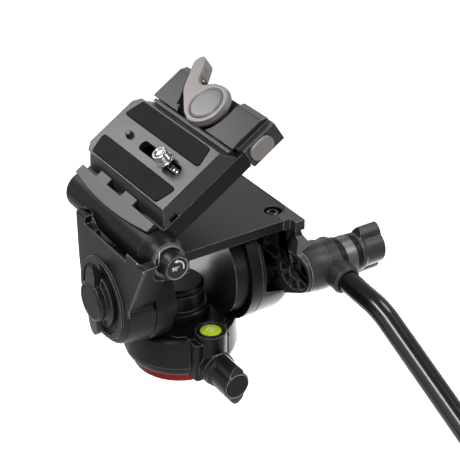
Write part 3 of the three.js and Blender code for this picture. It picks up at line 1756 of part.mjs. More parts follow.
function barEndCap() {
  const profile = [
    [0, 0],
    [endCapRadius - knobRound, 0],
    [endCapRadius, knobRound],
    [endCapRadius, endCapLength - knobRound],
    [endCapRadius - knobRound, endCapLength],
    [0, endCapLength],
  ];
  return onBarTail(turned('z', profile, smallSides), barTailLength - gripOverlap + gripLength + fitGap);
}

place(barGroup, 'bar_clamp', barClamp(), castBlack);
place(barGroup, 'clamp_collar', ring('x', boltRadius + fitGap, collarRadius, clampHubOuter + fitGap, collarOuter),
  softBlack);
place(barGroup, 'clamp_ring', ring('x', boltRadius + fitGap, brightRingRadius, collarOuter + fitGap, brightRingOuter),
  brushed);
place(barGroup, 'knob_collar', ring('x', boltRadius + fitGap, knobCollarRadius, brightRingOuter + fitGap,
  knobCollarOuter), softBlack);
place(barGroup, 'clamp_bolt', disc('x', boltRadius, boltInner, boltOuter, smallSides), steel);
place(barGroup, 'pan_bar_tube', panBarTube(), glossBlack);
place(barGroup, 'bar_grip', barGrip(), softBlack);
place(barGroup, 'bar_end_cap', barEndCap(), satinBlack);

// The bar knob threads onto the bolt, so its body has a bore in place of a stud
function barKnob() {
  const size = knobSize(barKnobBody, barKnobFlange, barKnobReach, barKnobLength, barKnobCap);
  size.studLength = 0;
  const reach = boltOuter - knobCollarOuter;
  return cut(wingKnob(size), disc('z', boltRadius + fitGap, -overrun, reach, smallSides));
}

const barKnobGroup = new THREE.Group();
barKnobGroup.position.set(knobCollarOuter + fitGap, 0, 0);
barKnobGroup.rotation.set(quarter, quarter, 0);
barGroup.add(barKnobGroup);
place(barKnobGroup, 'bar_knob', barKnob(), satinBlack);
place(barKnobGroup, 'bar_knob_cap', knobCap(barKnobLength, barKnobCap), softBlack);

export default head;
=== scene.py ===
"""A fluid head for a tripod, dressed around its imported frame, in metres."""
import json
import math

import bmesh
import bpy
from mathutils import Matrix, Vector
from mathutils.bvhtree import BVHTree


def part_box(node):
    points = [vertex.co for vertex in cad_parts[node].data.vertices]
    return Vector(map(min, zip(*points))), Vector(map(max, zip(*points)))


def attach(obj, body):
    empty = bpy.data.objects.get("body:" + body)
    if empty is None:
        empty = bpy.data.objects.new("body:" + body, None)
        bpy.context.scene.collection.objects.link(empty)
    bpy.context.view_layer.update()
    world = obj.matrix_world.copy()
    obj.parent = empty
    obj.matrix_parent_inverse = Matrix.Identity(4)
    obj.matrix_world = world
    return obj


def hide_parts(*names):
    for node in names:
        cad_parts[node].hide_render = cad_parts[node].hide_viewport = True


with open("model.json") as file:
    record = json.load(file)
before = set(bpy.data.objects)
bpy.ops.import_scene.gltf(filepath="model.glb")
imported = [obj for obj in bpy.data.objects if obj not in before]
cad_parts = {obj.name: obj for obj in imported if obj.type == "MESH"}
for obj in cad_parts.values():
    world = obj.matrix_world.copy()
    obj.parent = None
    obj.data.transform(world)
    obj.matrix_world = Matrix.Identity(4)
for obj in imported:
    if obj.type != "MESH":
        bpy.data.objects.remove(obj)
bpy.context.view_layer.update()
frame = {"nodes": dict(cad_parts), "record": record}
NODES = frame["nodes"]
BODY_OF = {node: body for body, nodes in frame["record"]["behaviour"]["bodies"].items()
           for node in nodes}
MM = 0.001

# The camera's place, its heading right of +Y, its fall below level, and its lens
CAMERA_AT = (-0.34001, -0.58563, 0.48291)
CAMERA_HEADING = 32.81
CAMERA_FALL = 30.09
CAMERA_LENS = 101.3
CAMERA_SENSOR = 36
CAMERA_CLIP = (0.01, 50)


def place_camera():
    """The camera that sees the head from the photo's side."""
    heading, fall = math.radians(CAMERA_HEADING), math.radians(CAMERA_FALL)
    forward = Vector((math.sin(heading) * math.cos(fall),
                      math.cos(heading) * math.cos(fall), -math.sin(fall)))
    right = Vector((math.cos(heading), -math.sin(heading), 0))
    up = right.cross(forward)
    data = bpy.data.cameras.new("photo_camera")
    data.lens, data.sensor_width = CAMERA_LENS, CAMERA_SENSOR
    data.clip_start, data.clip_end = CAMERA_CLIP
    camera = bpy.data.objects.new("photo_camera", data)
    turn = Matrix((right, up, -forward)).transposed().to_4x4()
    camera.matrix_world = Matrix.Translation(CAMERA_AT) @ turn
    bpy.context.scene.collection.objects.link(camera)
    bpy.context.scene.camera = camera


# Studio ----------------------------------------------------------------------

# Name, place, point it faces, width and height, power in watts
LAMPS = [
    ("window_left", (-1.30, -0.30, 0.75), (0, 0, 0.08), 0.8, 1.1, 2.6),
    ("window_right", (0.66, -0.70, 1.02), (0.05, 0, 0.06), 0.35, 0.6, 8),
    ("top_left_strip", (-0.51, -0.12, 0.82), (0.08, -0.2, 0.02), 0.8, 0.2, 10),
    ("top_right_panel", (0.55, 0.06, 1.00), (0.07, -0.05, 0.06), 0.3, 0.35, 2.5),
    ("plate_panel", (-0.19, 0.46, 0.50), (-0.04, 0.06, 0.14), 0.22, 0.22, 1.2),
    ("back_right_panel", (0.50, 0.80, 0.62), (0.02, 0, 0.10), 0.5, 0.3, 0.9),
    ("front_fill", (-0.30, -1.25, 0.30), (0.03, 0, 0.06), 0.7, 0.25, 3),
    ("table_light_right", (0.55, 0.35, -0.31), (0.55, 0.35, 1), 0.8, 0.9, 8),
    ("table_light_front", (-0.10, -0.50, -0.31), (-0.10, -0.50, 1), 0.9, 0.5, 0.8),
]
# Strength of the even glow from all around
WORLD_GLOW = 0.25
# Reflections see white up to CEILING_FROM and CEILING_GLOSS from CEILING_TO on, both heights
# of the direction that is looked in, where level is 0 and straight up is 1
CEILING_GLOSS = 0.3
CEILING_FROM = 0.15
CEILING_TO = 0.6
# The floor is far enough under the base that the pan bar stays clear of it when it hangs
FLOOR_DROP = 0.33
FLOOR_HALF = 3.0
# Glow that lifts the paper to white for the camera and glass, and a little in reflections
FLOOR_LIFT = 0.8
FLOOR_GLOSS_LIFT = 0.12
PAPER_TONE = 0.85
PAPER_ROUGHNESS = 0.9
WHITE = (1, 1, 1, 1)


def reckon(tree, operation, first, second):
    """The result of a Math node, whose inputs are each a socket or a number."""
    node = tree.nodes.new("ShaderNodeMath")
    node.operation = operation
    for value, entry in zip((first, second), node.inputs):
        if isinstance(value, (int, float)):
            entry.default_value = value
        else:
            tree.links.new(value, entry)
    return node.outputs[0]


def seen_directly(tree, paths):
    """A factor that is 1 for the camera's rays and for rays through glass."""
    return reckon(tree, "MAXIMUM", paths.outputs["Is Camera Ray"],
                  paths.outputs["Is Transmission Ray"])


def mixed_shader(tree, factor, first, second):
    """One shader where the factor is 0 and another where it is 1."""
    mix = tree.nodes.new("ShaderNodeMixShader")
    for value, entry in zip((factor, first, second), mix.inputs):
        tree.links.new(value, entry)
    return mix.outputs[0]


def white_paper_world():
    """White to the camera, through glass and low in reflections; an even glow for the rest."""
    world = bpy.data.worlds.new("studio")
    bpy.context.scene.world = world
    world.use_nodes = True
    tree = world.node_tree
    nodes, links = tree.nodes, tree.links
    nodes.clear()
    output = nodes.new("ShaderNodeOutputWorld")
    paths = nodes.new("ShaderNodeLightPath")
    place = nodes.new("ShaderNodeTexCoord")
    parts = nodes.new("ShaderNodeSeparateXYZ")
    links.new(place.outputs["Generated"], parts.inputs[0])
    ceiling = nodes.new("ShaderNodeMapRange")
    ceiling.inputs["From Min"].default_value = CEILING_FROM
    ceiling.inputs["From Max"].default_value = CEILING_TO
    ceiling.inputs["To Min"].default_value = 1
    ceiling.inputs["To Max"].default_value = CEILING_GLOSS
    links.new(parts.outputs["Z"], ceiling.inputs["Value"])
    glow = nodes.new("ShaderNodeBackground")
    glow.inputs["Strength"].default_value = WORLD_GLOW
    gloss = nodes.new("ShaderNodeBackground")
    gloss.inputs["Color"].default_value = WHITE
    links.new(ceiling.outputs[0], gloss.inputs["Strength"])
    white = nodes.new("ShaderNodeBackground")
    white.inputs["Color"].default_value = WHITE
    unseen = mixed_shader(tree, paths.outputs["Is Glossy Ray"], glow.outputs[0],
                          gloss.outputs[0])
    links.new(mixed_shader(tree, seen_directly(tree, paths), unseen, white.outputs[0]),
              output.inputs["Surface"])


def paper_floor():
    """Pale paper that keeps the object's shadow and glows by who looks at it."""
    paper = bpy.data.materials.new("pale_paper")
    paper.use_nodes = True
    tree = paper.node_tree
    shader = tree.nodes["Principled BSDF"]
    shader.inputs["Base Color"].default_value = (PAPER_TONE, PAPER_TONE, PAPER_TONE, 1)
    shader.inputs["Roughness"].default_value = PAPER_ROUGHNESS
    shader.inputs["Emission Color"].default_value = WHITE
    paths = tree.nodes.new("ShaderNodeLightPath")
    to_camera = reckon(tree, "MULTIPLY", seen_directly(tree, paths), FLOOR_LIFT)
    to_gloss = reckon(tree, "MULTIPLY", paths.outputs["Is Glossy Ray"], FLOOR_GLOSS_LIFT)
    tree.links.new(reckon(tree, "MAXIMUM", to_camera, to_gloss),
                   shader.inputs["Emission Strength"])
    mesh = bpy.data.meshes.new("studio_floor")
    corners = [(-1, -1), (1, -1), (1, 1), (-1, 1)]
    mesh.from_pydata([(x * FLOOR_HALF, y * FLOOR_HALF, 0) for x, y in corners], [],
                     [(0, 1, 2, 3)])
    floor = bpy.data.objects.new("studio_floor", mesh)
    floor.location.z = -FLOOR_DROP
    mesh.materials.append(paper)
    bpy.context.scene.collection.objects.link(floor)


def build_studio():
    """White surroundings, the lamps and the floor."""
    bpy.context.scene.view_settings.view_transform = "Standard"
    white_paper_world()
    for name, place, target, width, height, power in LAMPS:
        data = bpy.data.lights.new(name, "AREA")
        data.shape, data.size, data.size_y, data.energy = "RECTANGLE", width, height, power
        lamp = bpy.data.objects.new(name, data)
        aim = (Vector(target) - Vector(place)).to_track_quat("-Z", "Y")
        lamp.matrix_world = Matrix.Translation(place) @ aim.to_matrix().to_4x4()
        bpy.context.scene.collection.objects.link(lamp)
    paper_floor()


# Finishes --------------------------------------------------------------------

# Scale of the slow clouds that vary a coat's roughness
CLOUD_SCALE = 55
# Depth of the relief that the speckle gives
RELIEF_DEPTH = 0.05 * MM
ROUNDING_SAMPLES = 6
# The painted edge highlight reaches this far from a corner. It starts and is full at these
# cosines of the angle between the face and its rounded normal.
HIGHLIGHT_REACH = 0.6 * MM
HIGHLIGHT_STARTS = 0.985
HIGHLIGHT_FULL = 0.8


def socket(tree, name, way, kind, value=None):
    """Adds an input or output to a node group."""
    made = tree.interface.new_socket(name=name, in_out=way, socket_type=kind)
    if value is not None:
        made.default_value = value
    return made


def group_tree(name):
    """A new node group with its input and output nodes."""
    tree = bpy.data.node_groups.new(name, "ShaderNodeTree")
    return tree, tree.nodes.new("NodeGroupInput"), tree.nodes.new("NodeGroupOutput")


def make_coat_grain():
    """Fine speckle of a coat: a height, a roughness and a colour tone, in object space."""
    tree, enter, leave = group_tree("coat_grain")
    socket(tree, "Scale", "INPUT", "NodeSocketFloat", 2500)
    socket(tree, "Colour", "INPUT", "NodeSocketColor", (0.02, 0.02, 0.02, 1))
    socket(tree, "Tone Spread", "INPUT", "NodeSocketFloat", 0.1)
    socket(tree, "Roughness", "INPUT", "NodeSocketFloat", 0.4)
    socket(tree, "Roughness Spread", "INPUT", "NodeSocketFloat", 0.08)
    socket(tree, "Colour", "OUTPUT", "NodeSocketColor")
    socket(tree, "Roughness", "OUTPUT", "NodeSocketFloat")
    socket(tree, "Height", "OUTPUT", "NodeSocketFloat")
    nodes, links = tree.nodes, tree.links
    place = nodes.new("ShaderNodeTexCoord")
    speckle = nodes.new("ShaderNodeTexNoise")
    speckle.inputs["Detail"].default_value = 2
    links.new(place.outputs["Object"], speckle.inputs["Vector"])
    links.new(enter.outputs["Scale"], speckle.inputs["Scale"])
    cloud = nodes.new("ShaderNodeTexNoise")
    cloud.inputs["Scale"].default_value = CLOUD_SCALE
    cloud.inputs["Detail"].default_value = 3
    links.new(place.outputs["Object"], cloud.inputs["Vector"])

    def spread(source, amount, base):
        """Varies the base by the amount while the source goes from 0 to 1."""
        centred = reckon(tree, "SUBTRACT", source, 0.5)
        return reckon(tree, "ADD", reckon(tree, "MULTIPLY", centred, amount), base)

    rough = spread(cloud.outputs["Fac"], enter.outputs["Roughness Spread"],
                   enter.outputs["Roughness"])
    links.new(rough, leave.inputs["Roughness"])
    tone = spread(speckle.outputs["Fac"], enter.outputs["Tone Spread"], 1.0)
    tint = nodes.new("ShaderNodeVectorMath")
    tint.operation = "SCALE"
    links.new(enter.outputs["Colour"], tint.inputs[0])
    links.new(tone, tint.inputs["Scale"])
    links.new(tint.outputs[0], leave.inputs["Colour"])
    links.new(speckle.outputs["Fac"], leave.inputs["Height"])
    return tree


def rounded_normal(nodes):
    """A Bevel node, which rounds the normal near corners."""
    rounding = nodes.new("ShaderNodeBevel")
    rounding.samples = ROUNDING_SAMPLES
    return rounding


def make_edge_wear():
    """Painted edge highlight: mixes a colour towards a lighter one where a corner is near, convex
    or hollow.
    """
    tree, enter, leave = group_tree("edge_wear")
    socket(tree, "Colour", "INPUT", "NodeSocketColor", (0.02, 0.02, 0.02, 1))
    socket(tree, "Edge Colour", "INPUT", "NodeSocketColor", (0.2, 0.2, 0.2, 1))
    socket(tree, "Reach", "INPUT", "NodeSocketFloat", 0.5 * MM)
    socket(tree, "Amount", "INPUT", "NodeSocketFloat", 1.0)
    socket(tree, "Colour", "OUTPUT", "NodeSocketColor")
    nodes, links = tree.nodes, tree.links
    rounding = rounded_normal(nodes)
    links.new(enter.outputs["Reach"], rounding.inputs["Radius"])
    facing = nodes.new("ShaderNodeNewGeometry")
    alike = nodes.new("ShaderNodeVectorMath")
    alike.operation = "DOT_PRODUCT"
    links.new(rounding.outputs[0], alike.inputs[0])
    links.new(facing.outputs["True Normal"], alike.inputs[1])
    turn = nodes.new("ShaderNodeMapRange")
    turn.inputs["From Min"].default_value = HIGHLIGHT_STARTS
    turn.inputs["From Max"].default_value = HIGHLIGHT_FULL
    turn.inputs["To Min"].default_value = 0.0
    turn.inputs["To Max"].default_value = 1.0
    links.new(alike.outputs["Value"], turn.inputs["Value"])
    much = reckon(tree, "MULTIPLY", turn.outputs[0], enter.outputs["Amount"])
    # The colours of a Mix node are its inputs 6 and 7 and its output 2
    mix = nodes.new("ShaderNodeMix")
    mix.data_type = "RGBA"
    links.new(much, mix.inputs[0])
    links.new(enter.outputs["Colour"], mix.inputs[6])
    links.new(enter.outputs["Edge Colour"], mix.inputs[7])
    links.new(mix.outputs[2], leave.inputs["Colour"])
    return tree


def plain_finish(name, grain, colour, roughness, metallic=0.0, scale=2500, bump=0.1,
                 tone=0.1, spread=0.08, coat=0.0, coat_roughness=0.1, edge=0.0, lobe=0.5,
                 wear=None, worn=(0.5, 0.5, 0.51), wear_amount=0.9):
    """A coat with speckle, and on request rounded normals at the edges and a lighter edge
    highlight painted into the colour there.
    """
    material = bpy.data.materials.new(name)
    material.use_nodes = True
    nodes, links = material.node_tree.nodes, material.node_tree.links
    shader = nodes["Principled BSDF"]
    shader.inputs["Metallic"].default_value = metallic
    shader.inputs["Coat Weight"].default_value = coat
    shader.inputs["Coat Roughness"].default_value = coat_roughness
    shader.inputs["Specular IOR Level"].default_value = lobe
    speckle = nodes.new("ShaderNodeGroup")
    speckle.node_tree = grain
    speckle.inputs["Scale"].default_value = scale
    speckle.inputs["Colour"].default_value = (*colour, 1)
    speckle.inputs["Tone Spread"].default_value = tone
    speckle.inputs["Roughness"].default_value = roughness
    speckle.inputs["Roughness Spread"].default_value = spread
    coat_colour = speckle.outputs["Colour"]
    # Where asked, a lighter colour is painted near corners as an edge highlight
    if wear:
        worn_edge = nodes.new("ShaderNodeGroup")
        worn_edge.node_tree = wear
        worn_edge.inputs["Edge Colour"].default_value = (*worn, 1)
        worn_edge.inputs["Reach"].default_value = HIGHLIGHT_REACH
        worn_edge.inputs["Amount"].default_value = wear_amount
        links.new(coat_colour, worn_edge.inputs["Colour"])
        coat_colour = worn_edge.outputs["Colour"]
    links.new(coat_colour, shader.inputs["Base Color"])
    links.new(speckle.outputs["Roughness"], shader.inputs["Roughness"])
    relief = nodes.new("ShaderNodeBump")
    relief.inputs["Strength"].default_value = bump
    relief.inputs["Distance"].default_value = RELIEF_DEPTH
    links.new(speckle.outputs["Height"], relief.inputs["Height"])
    if edge:
        rounding = rounded_normal(nodes)
        rounding.inputs["Radius"].default_value = edge
        links.new(rounding.outputs[0], relief.inputs["Normal"])
    links.new(relief.outputs[0], shader.inputs["Normal"])
    return material


def make_finishes():
    """Every finish by name: the slots' own, and some that no slot has."""
    grain = make_coat_grain()
    # The painted edge highlight that some coats mix into their colour
    wear = make_edge_wear()

    def plain(name, colour, roughness, **more):
        return plain_finish(name, grain, colour, roughness, **more)

    # Finishes that get the group above have a lighter edge highlight painted into their colour
    return {
        "cast_black": plain("cast_black", (0.005, 0.005, 0.0053), 0.36, bump=0.2,
                            scale=3200, edge=0.6 * MM, lobe=0.14, wear=wear),
        "satin_black": plain("satin_black", (0.006, 0.006, 0.0065), 0.33, bump=0.1,
                             scale=3800, edge=0.5 * MM, lobe=0.25, wear=wear),
        "bracket_black": plain("bracket_black", (0.011, 0.011, 0.0115), 0.4, bump=0.2,
                               scale=3200, edge=0.5 * MM, lobe=0.36, wear=wear),
        "plain_black": plain("plain_black", (0.005, 0.005, 0.0053), 0.36, bump=0.2,
                             scale=3200, lobe=0.14),
        "soft_black": plain("soft_black", (0.003, 0.003, 0.0032), 0.4, bump=0.12,
                            scale=3000, edge=0.4 * MM, lobe=0.12),
        "gloss_black": plain("gloss_black", (0.003, 0.003, 0.0032), 0.2, bump=0.01,
                             scale=900, spread=0.04, edge=0.4 * MM),
        "plate_grey": plain("plate_grey", (0.03, 0.03, 0.0312), 0.3, metallic=0.55,
                            bump=0.2, scale=4200, tone=0.25, edge=0.4 * MM,
                            wear=wear, worn=(0.4, 0.4, 0.4)),
        "jaw_grey": plain("jaw_grey", (0.03, 0.03, 0.0312), 0.36, metallic=0.5, bump=0.1,
                          scale=3800, edge=0.5 * MM),
        "clamp_grey": plain("clamp_grey", (0.02, 0.02, 0.0213), 0.36, metallic=0.4,
                            bump=0.12, scale=3600, edge=0.6 * MM,
                            wear=wear, worn=(0.35, 0.35, 0.35)),
        "lever_grey": plain("lever_grey", (0.165, 0.15, 0.143), 0.4, metallic=0.25, bump=0.1,
                            scale=3600, edge=0.6 * MM),
        "cap_grey": plain("cap_grey", (0.115, 0.113, 0.113), 0.36, metallic=0.3, bump=0.08,
                          scale=3600, edge=0.3 * MM),
        "pad_rubber": plain("pad_rubber", (0.005, 0.005, 0.0053), 0.8, bump=0.6,
                            scale=2200, tone=0.35, edge=0.3 * MM, lobe=0.15),
        "grip_rubber": plain("grip_rubber", (0.008, 0.008, 0.008), 0.62, bump=0.4,
                             scale=1800, edge=0.4 * MM, lobe=0.25),
        "polished_steel": plain("polished_steel", (0.29, 0.28, 0.268), 0.16, metallic=1.0,
                                bump=0.02, scale=1500, spread=0.06),
        "machined_face": plain("machined_face", (0.42, 0.42, 0.425), 0.3, metallic=1.0,
                               bump=0.03, scale=1800, spread=0.05),
        "brushed_metal": plain("brushed_metal", (0.1, 0.1, 0.103), 0.4, metallic=1.0,
                               bump=0.15, scale=2600, tone=0.3, edge=0.3 * MM),
        "red_anodised": plain("red_anodised", (0.15, 0.003, 0.003), 0.3, metallic=0.8,
                              bump=0.08, scale=3000, edge=0.3 * MM),
        "bubble_ring": plain("bubble_ring", (0.006, 0.006, 0.0062), 0.25, bump=0.02,
                             scale=900),
        "bubble_green": plain("bubble_green", (0.52, 0.66, 0.02), 0.12, bump=0.0,
                              scale=600, coat=1.0, coat_roughness=0.03),
        # White of the printed marks, and of the bubble's painted reflection and painted glint
        "mark_white": plain("mark_white", (0.75, 0.75, 0.74), 0.45, bump=0.05, scale=3000),
    }


# Mesh tools ------------------------------------------------------------------

SLOT_OF = {item["node"]: item["material_slot"] for item in frame["record"]["subparts"]}
# Corners sharper than this many degrees are rounded, to this width where no other is given
SOFT_ANGLE = 28
EDGE_WIDTH = 0.4 * MM
# Vertices nearer than this are one, and faces that turn less than this many degrees too
JOIN_GAP = 2e-6
FLAT_ANGLE = 0.6


def placed(origin, across, up):
    """Takes a drawing in mm, x across and z up, into the shared frame in metres."""
    across, up = Vector(across).normalized(), Vector(up).normalized()
    along = up.cross(across)
    turn = Matrix((across, along, up)).transposed().to_4x4()
    return Matrix.Translation(Vector(origin) * MM) @ turn @ Matrix.Scale(MM, 4)


def upright(*origin):
    """A drawing that isn't turned, with its origin at a point in mm."""
    return placed(origin, (1, 0, 0), (0, 0, 1))


def on_top(low, high):
    """An upright drawing with its origin at the middle of a box's top."""
    middle = (low + high) / 2
    return Matrix.Translation((middle[0], middle[1], high[2])) @ Matrix.Scale(MM, 4)


# The quick plate's own drawing: x to the clamp, y forward, z out of its top face
ON_PLATE = placed((-10.1, 14.0, 141.9), (0.83867, 0, 0.54464), (-0.54464, 0, 0.83867))
# The lever's drawing stands on its pivot, level with the plate's top face
ON_PIVOT = ON_PLATE @ Matrix.Translation((44.4, 0.5, 0))
# The flip button's end face, which looks rearward
ON_BUTTON = placed((-32.1, -54.2, 102.5), (1, 0, 0), (0, -1, 0))
# The flip hinge: x up, y to the right and z forward along its axis
ON_HINGE = placed((-32.1, 0, 102.5), (0, 0, 1), (0, 1, 0))
# The pan bar's pivot: x forward, y up and z to the right along its axis
BAR_AXIS = placed((0, -45.5, 66), (0, 1, 0), (1, 0, 0))
# Height of the tilt axis, and the middle of the slot in the quick plate
TILT_HEIGHT = 61.0
SLOT_X = 0.09


def mesh_of(name, points, faces, place):
    """A smooth mesh of points that are given in a drawing."""
    mesh = bpy.data.meshes.new(name)
    mesh.from_pydata([place @ Vector(point) for point in points], [], faces)
    work = bmesh.new()
    work.from_mesh(mesh)
    bmesh.ops.recalc_face_normals(work, faces=work.faces)
    for face in work.faces:
        face.smooth = True
    work.to_mesh(mesh)
    work.free()
    return mesh


def turned(name, profile, place, steps=64):
    """A body turned about z from a profile of radius and height, closed on the axis."""
    points, faces, rings = [], [], []
    for radius, height in profile:
        if radius <= 0:
            rings.append([len(points)] * steps)
            points.append((0, 0, height))
            continue
        rings.append(list(range(len(points), len(points) + steps)))
        points += [(radius * math.cos(math.tau * i / steps),
                    radius * math.sin(math.tau * i / steps), height) for i in range(steps)]
    for low, high in zip(rings, rings[1:]):
        for i in range(steps):
            corners = [low[i], low[(i + 1) % steps], high[(i + 1) % steps], high[i]]
            face = list(dict.fromkeys(corners))
            if len(face) > 2:
                faces.append(face)
    return mesh_of(name, points, faces, place)


def turned_ring(name, profile, place, steps=96):
    """A ring turned about z from a closed profile that stays off the axis."""
    points = [(radius * math.cos(math.tau * i / steps), radius * math.sin(math.tau * i / steps),
               height) for radius, height in profile for i in range(steps)]
    count = len(profile)
    faces = [(k * steps + i, k * steps + (i + 1) % steps,
              (k + 1) % count * steps + (i + 1) % steps, (k + 1) % count * steps + i)
             for k in range(count) for i in range(steps)]
    return mesh_of(name, points, faces, place)


def pressed(name, outline, low, high, place):
    """A flat outline in mm raised from low to high."""
    count = len(outline)
    points = [(x, y, low) for x, y in outline] + [(x, y, high) for x, y in outline]
    faces = [tuple(range(count))[::-1], tuple(range(count, 2 * count))]
    faces += [(i, (i + 1) % count, (i + 1) % count + count, i + count) for i in range(count)]
    return mesh_of(name, points, faces, place)


def smooth_line(corners, steps=5, closed=True):
    """A Catmull-Rom line through the corners."""
    line, count = [], len(corners)
    for i in range(count if closed else count - 1):
        around = [(i + k) % count if closed else min(max(i + k, 0), count - 1)
                  for k in (-1, 0, 1, 2)]
        a, b, c, d = (Vector(corners[k]) for k in around)
        for k in range(steps):
            t = k / steps
            line.append(tuple(0.5 * (2 * b + (c - a) * t + (2 * a - 5 * b + 4 * c - d) * t * t
                                     + (3 * b - a - 3 * c + d) * t ** 3)))
    return line if closed else line + [tuple(corners[-1])]


def arc_points(radius, start, end, steps):
    """Points on an arc about the origin between two headings in degrees."""
    headings = [math.radians(start + (end - start) * k / steps) for k in range(steps + 1)]
    return [(radius * math.cos(heading), radius * math.sin(heading)) for heading in headings]


def worked(mesh, change):
    """The mesh after the modifiers that change puts on a draft of it."""
    draft = bpy.data.objects.new("draft", mesh)
    bpy.context.scene.collection.objects.link(draft)
    helpers = change(draft) or []
    graph = bpy.context.evaluated_depsgraph_get()
    made = bpy.data.meshes.new_from_object(draft.evaluated_get(graph))
    for item in [draft, *helpers]:
        bpy.data.objects.remove(item)
    return made


def cut_with(mesh, tools, way="DIFFERENCE"):
    """The mesh with the tools taken out of it, or joined to it."""
    def change(draft):
        helpers = []
        for tool in tools:
            helper = bpy.data.objects.new("cutter", tool)
            bpy.context.scene.collection.objects.link(helper)
            helper.hide_render = True
            step = draft.modifiers.new("cut", "BOOLEAN")
            step.object, step.operation, step.solver = helper, way, "EXACT"
            helpers.append(helper)
        return helpers
    return worked(mesh, change)


def cleaned(mesh):
    """Joined vertices, flat faces made whole again, and all faces smooth."""
    work = bmesh.new()
    work.from_mesh(mesh)
    bmesh.ops.remove_doubles(work, verts=work.verts, dist=JOIN_GAP)
    bmesh.ops.dissolve_limit(work, angle_limit=math.radians(FLAT_ANGLE), verts=work.verts,
                             edges=work.edges, use_dissolve_boundaries=False)
    for face in work.faces:
        face.smooth = True
    work.to_mesh(mesh)
    work.free()
    return mesh


def eased(mesh, width, segments=2):
    """Rounded edges unless the width is 0, and normals that keep the flat faces flat."""
    def change(draft):
        if width:
            edge = draft.modifiers.new("rounded_edges", "BEVEL")
            edge.width, edge.segments = width, segments
            edge.limit_method = "ANGLE"
            edge.angle_limit = math.radians(SOFT_ANGLE)
            edge.use_clamp_overlap = False
        flat = draft.modifiers.new("flat_faces", "WEIGHTED_NORMAL")
        # Large faces alone set the normals round them
        flat.weight = 100
        flat.keep_sharp = True
    made = worked(mesh, change)
    if width:
        keep_near(made, mesh, 2 * width)
    return made


def keep_near(mesh, source, reach):
    """Brings back any vertex that a rounded edge threw further than reach from the solid."""
    tree = BVHTree.FromPolygons([v.co.copy() for v in source.vertices],
                                [list(p.vertices) for p in source.polygons])
    for vertex in mesh.vertices:
        near, _, _, away = tree.find_nearest(vertex.co)
        if near is not None and away > reach:
            vertex.co = near


def keep_in_box(mesh, node):
    """Holds every vertex inside the node's own box."""
    low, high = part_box(node)
    for vertex in mesh.vertices:
        vertex.co = [min(max(vertex.co[i], low[i]), high[i]) for i in range(3)]


def put(name, mesh, body, finish, stands_for=()):
    """Adds a piece to a body in a finish, and names the nodes that it stands for.
    """
    mesh.name = name
    piece = bpy.data.objects.new(name, mesh)
    bpy.context.scene.collection.objects.link(piece)
    mesh.materials.clear()
    mesh.materials.append(finishes[finish])
    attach(piece, body)
    if stands_for:
        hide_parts(*stands_for)
    return piece


# Softened copies of the cast and moulded parts -------------------------------

# Width of the rounded edge where it isn't the usual one
EDGE_OF = {
    "right_bracket": 0.25 * MM, "bar_clamp": 0.25 * MM, "camera_plate": 0.35 * MM,
    "pan_housing": 0.5 * MM, "platform": 0.35 * MM, "bar_grip": 0.2 * MM,
    "left_side_plate": 0.45 * MM, "top_plate": 0.5 * MM,
}
# Finish where it isn't the slot's own
FINISH_OF = {"right_bracket": "bracket_black", "bar_clamp": "bracket_black",
             "drum_flange": "soft_black", "bar_knob": "bracket_black"}


def soften(node, cutters=()):
    """A copy of a node with rounded edges and smooth round faces, which stands for it."""
    width = EDGE_OF.get(node, EDGE_WIDTH)
    mesh = cleaned(NODES[node].data.copy())
    if cutters:
        mesh = cleaned(cut_with(mesh, cutters))
    made = eased(mesh, width)
    keep_in_box(made, node)
    return put(node + "_softened", made, BODY_OF[node], FINISH_OF.get(node, SLOT_OF[node]),
               (node,))


# Flip button -----------------------------------------------------------------

def flip_button():
    """End face with a sunk field, the angle and a turn arrow."""
    # The field is round with a flat foot
    field = [(x, max(y, -4.4)) for x, y in arc_points(6.1, 0, 360, 48)[:-1]]
    sunk = pressed("button_field", field, -0.6, 1, ON_BUTTON)
    soften("flip_button", [sunk])
    curve = bpy.data.curves.new("angle_mark", "FONT")
    curve.body, curve.size, curve.extrude = "90\u00b0", 3.6, 0.06
    curve.align_x, curve.align_y = "CENTER", "CENTER"
    lettering = bpy.data.objects.new("angle_mark_draft", curve)
    bpy.context.scene.collection.objects.link(lettering)
    graph = bpy.context.evaluated_depsgraph_get()
    mark = bpy.data.meshes.new_from_object(lettering.evaluated_get(graph))
    bpy.data.objects.remove(lettering)
    mark.transform(ON_BUTTON @ Matrix.Translation((-0.9, -0.3, -0.5)))
    put("flip_angle_mark", mark, "flip_lock", "mark_white")
    arc = arc_points(4.7, -20, 88, 18) + arc_points(4.0, 88, -20, 18)
    head = [(0.4, 5.5), (0.4, 3.2), (-1.7, 4.35)]
    for name, outline in (("flip_turn_arc", arc), ("flip_turn_head", head)):
        put(name, pressed(name, outline, -0.62, -0.45, ON_BUTTON), "flip_lock", "mark_white")


# Lever and its cap -----------------------------------------------------------

# Height of the lever's upper face in the pivot's drawing
LEVER_TOP = -4.66
# Outline of the lever's upper face round its pivot, from the hub's left side over the arm
LEVER_ARM = [(-13.9, 3.2), (-12.3, 8.2), (-9.3, 13.0), (-4.9, 19.2), (-0.9, 24.8), (5.0, 29.4),
             (10.6, 32.9), (14.6, 36.0), (18.0, 37.6), (21.5, 37.3), (24.2, 35.0), (23.4, 31.6),
             (19.6, 28.3), (15.6, 25.3), (11.9, 23.2), (9.2, 20.0), (8.2, 16.4), (9.2, 13.2),
             (11.4, 10.8), (13.7, 6.6)]
# Radii of the hub and of the skirt below it
LEVER_HUB = 14.6
LEVER_SKIRT = 15.3
# Outline of the grip under the arm's end, and its lowest height
LEVER_GRIP = [(12.8, 24.2), (15.6, 25.3), (19.6, 28.3), (23.4, 31.6), (24.2, 35.0),
              (21.5, 37.3), (18.6, 36.2), (15.4, 30.6)]
LEVER_GRIP_BOTTOM = -14.6


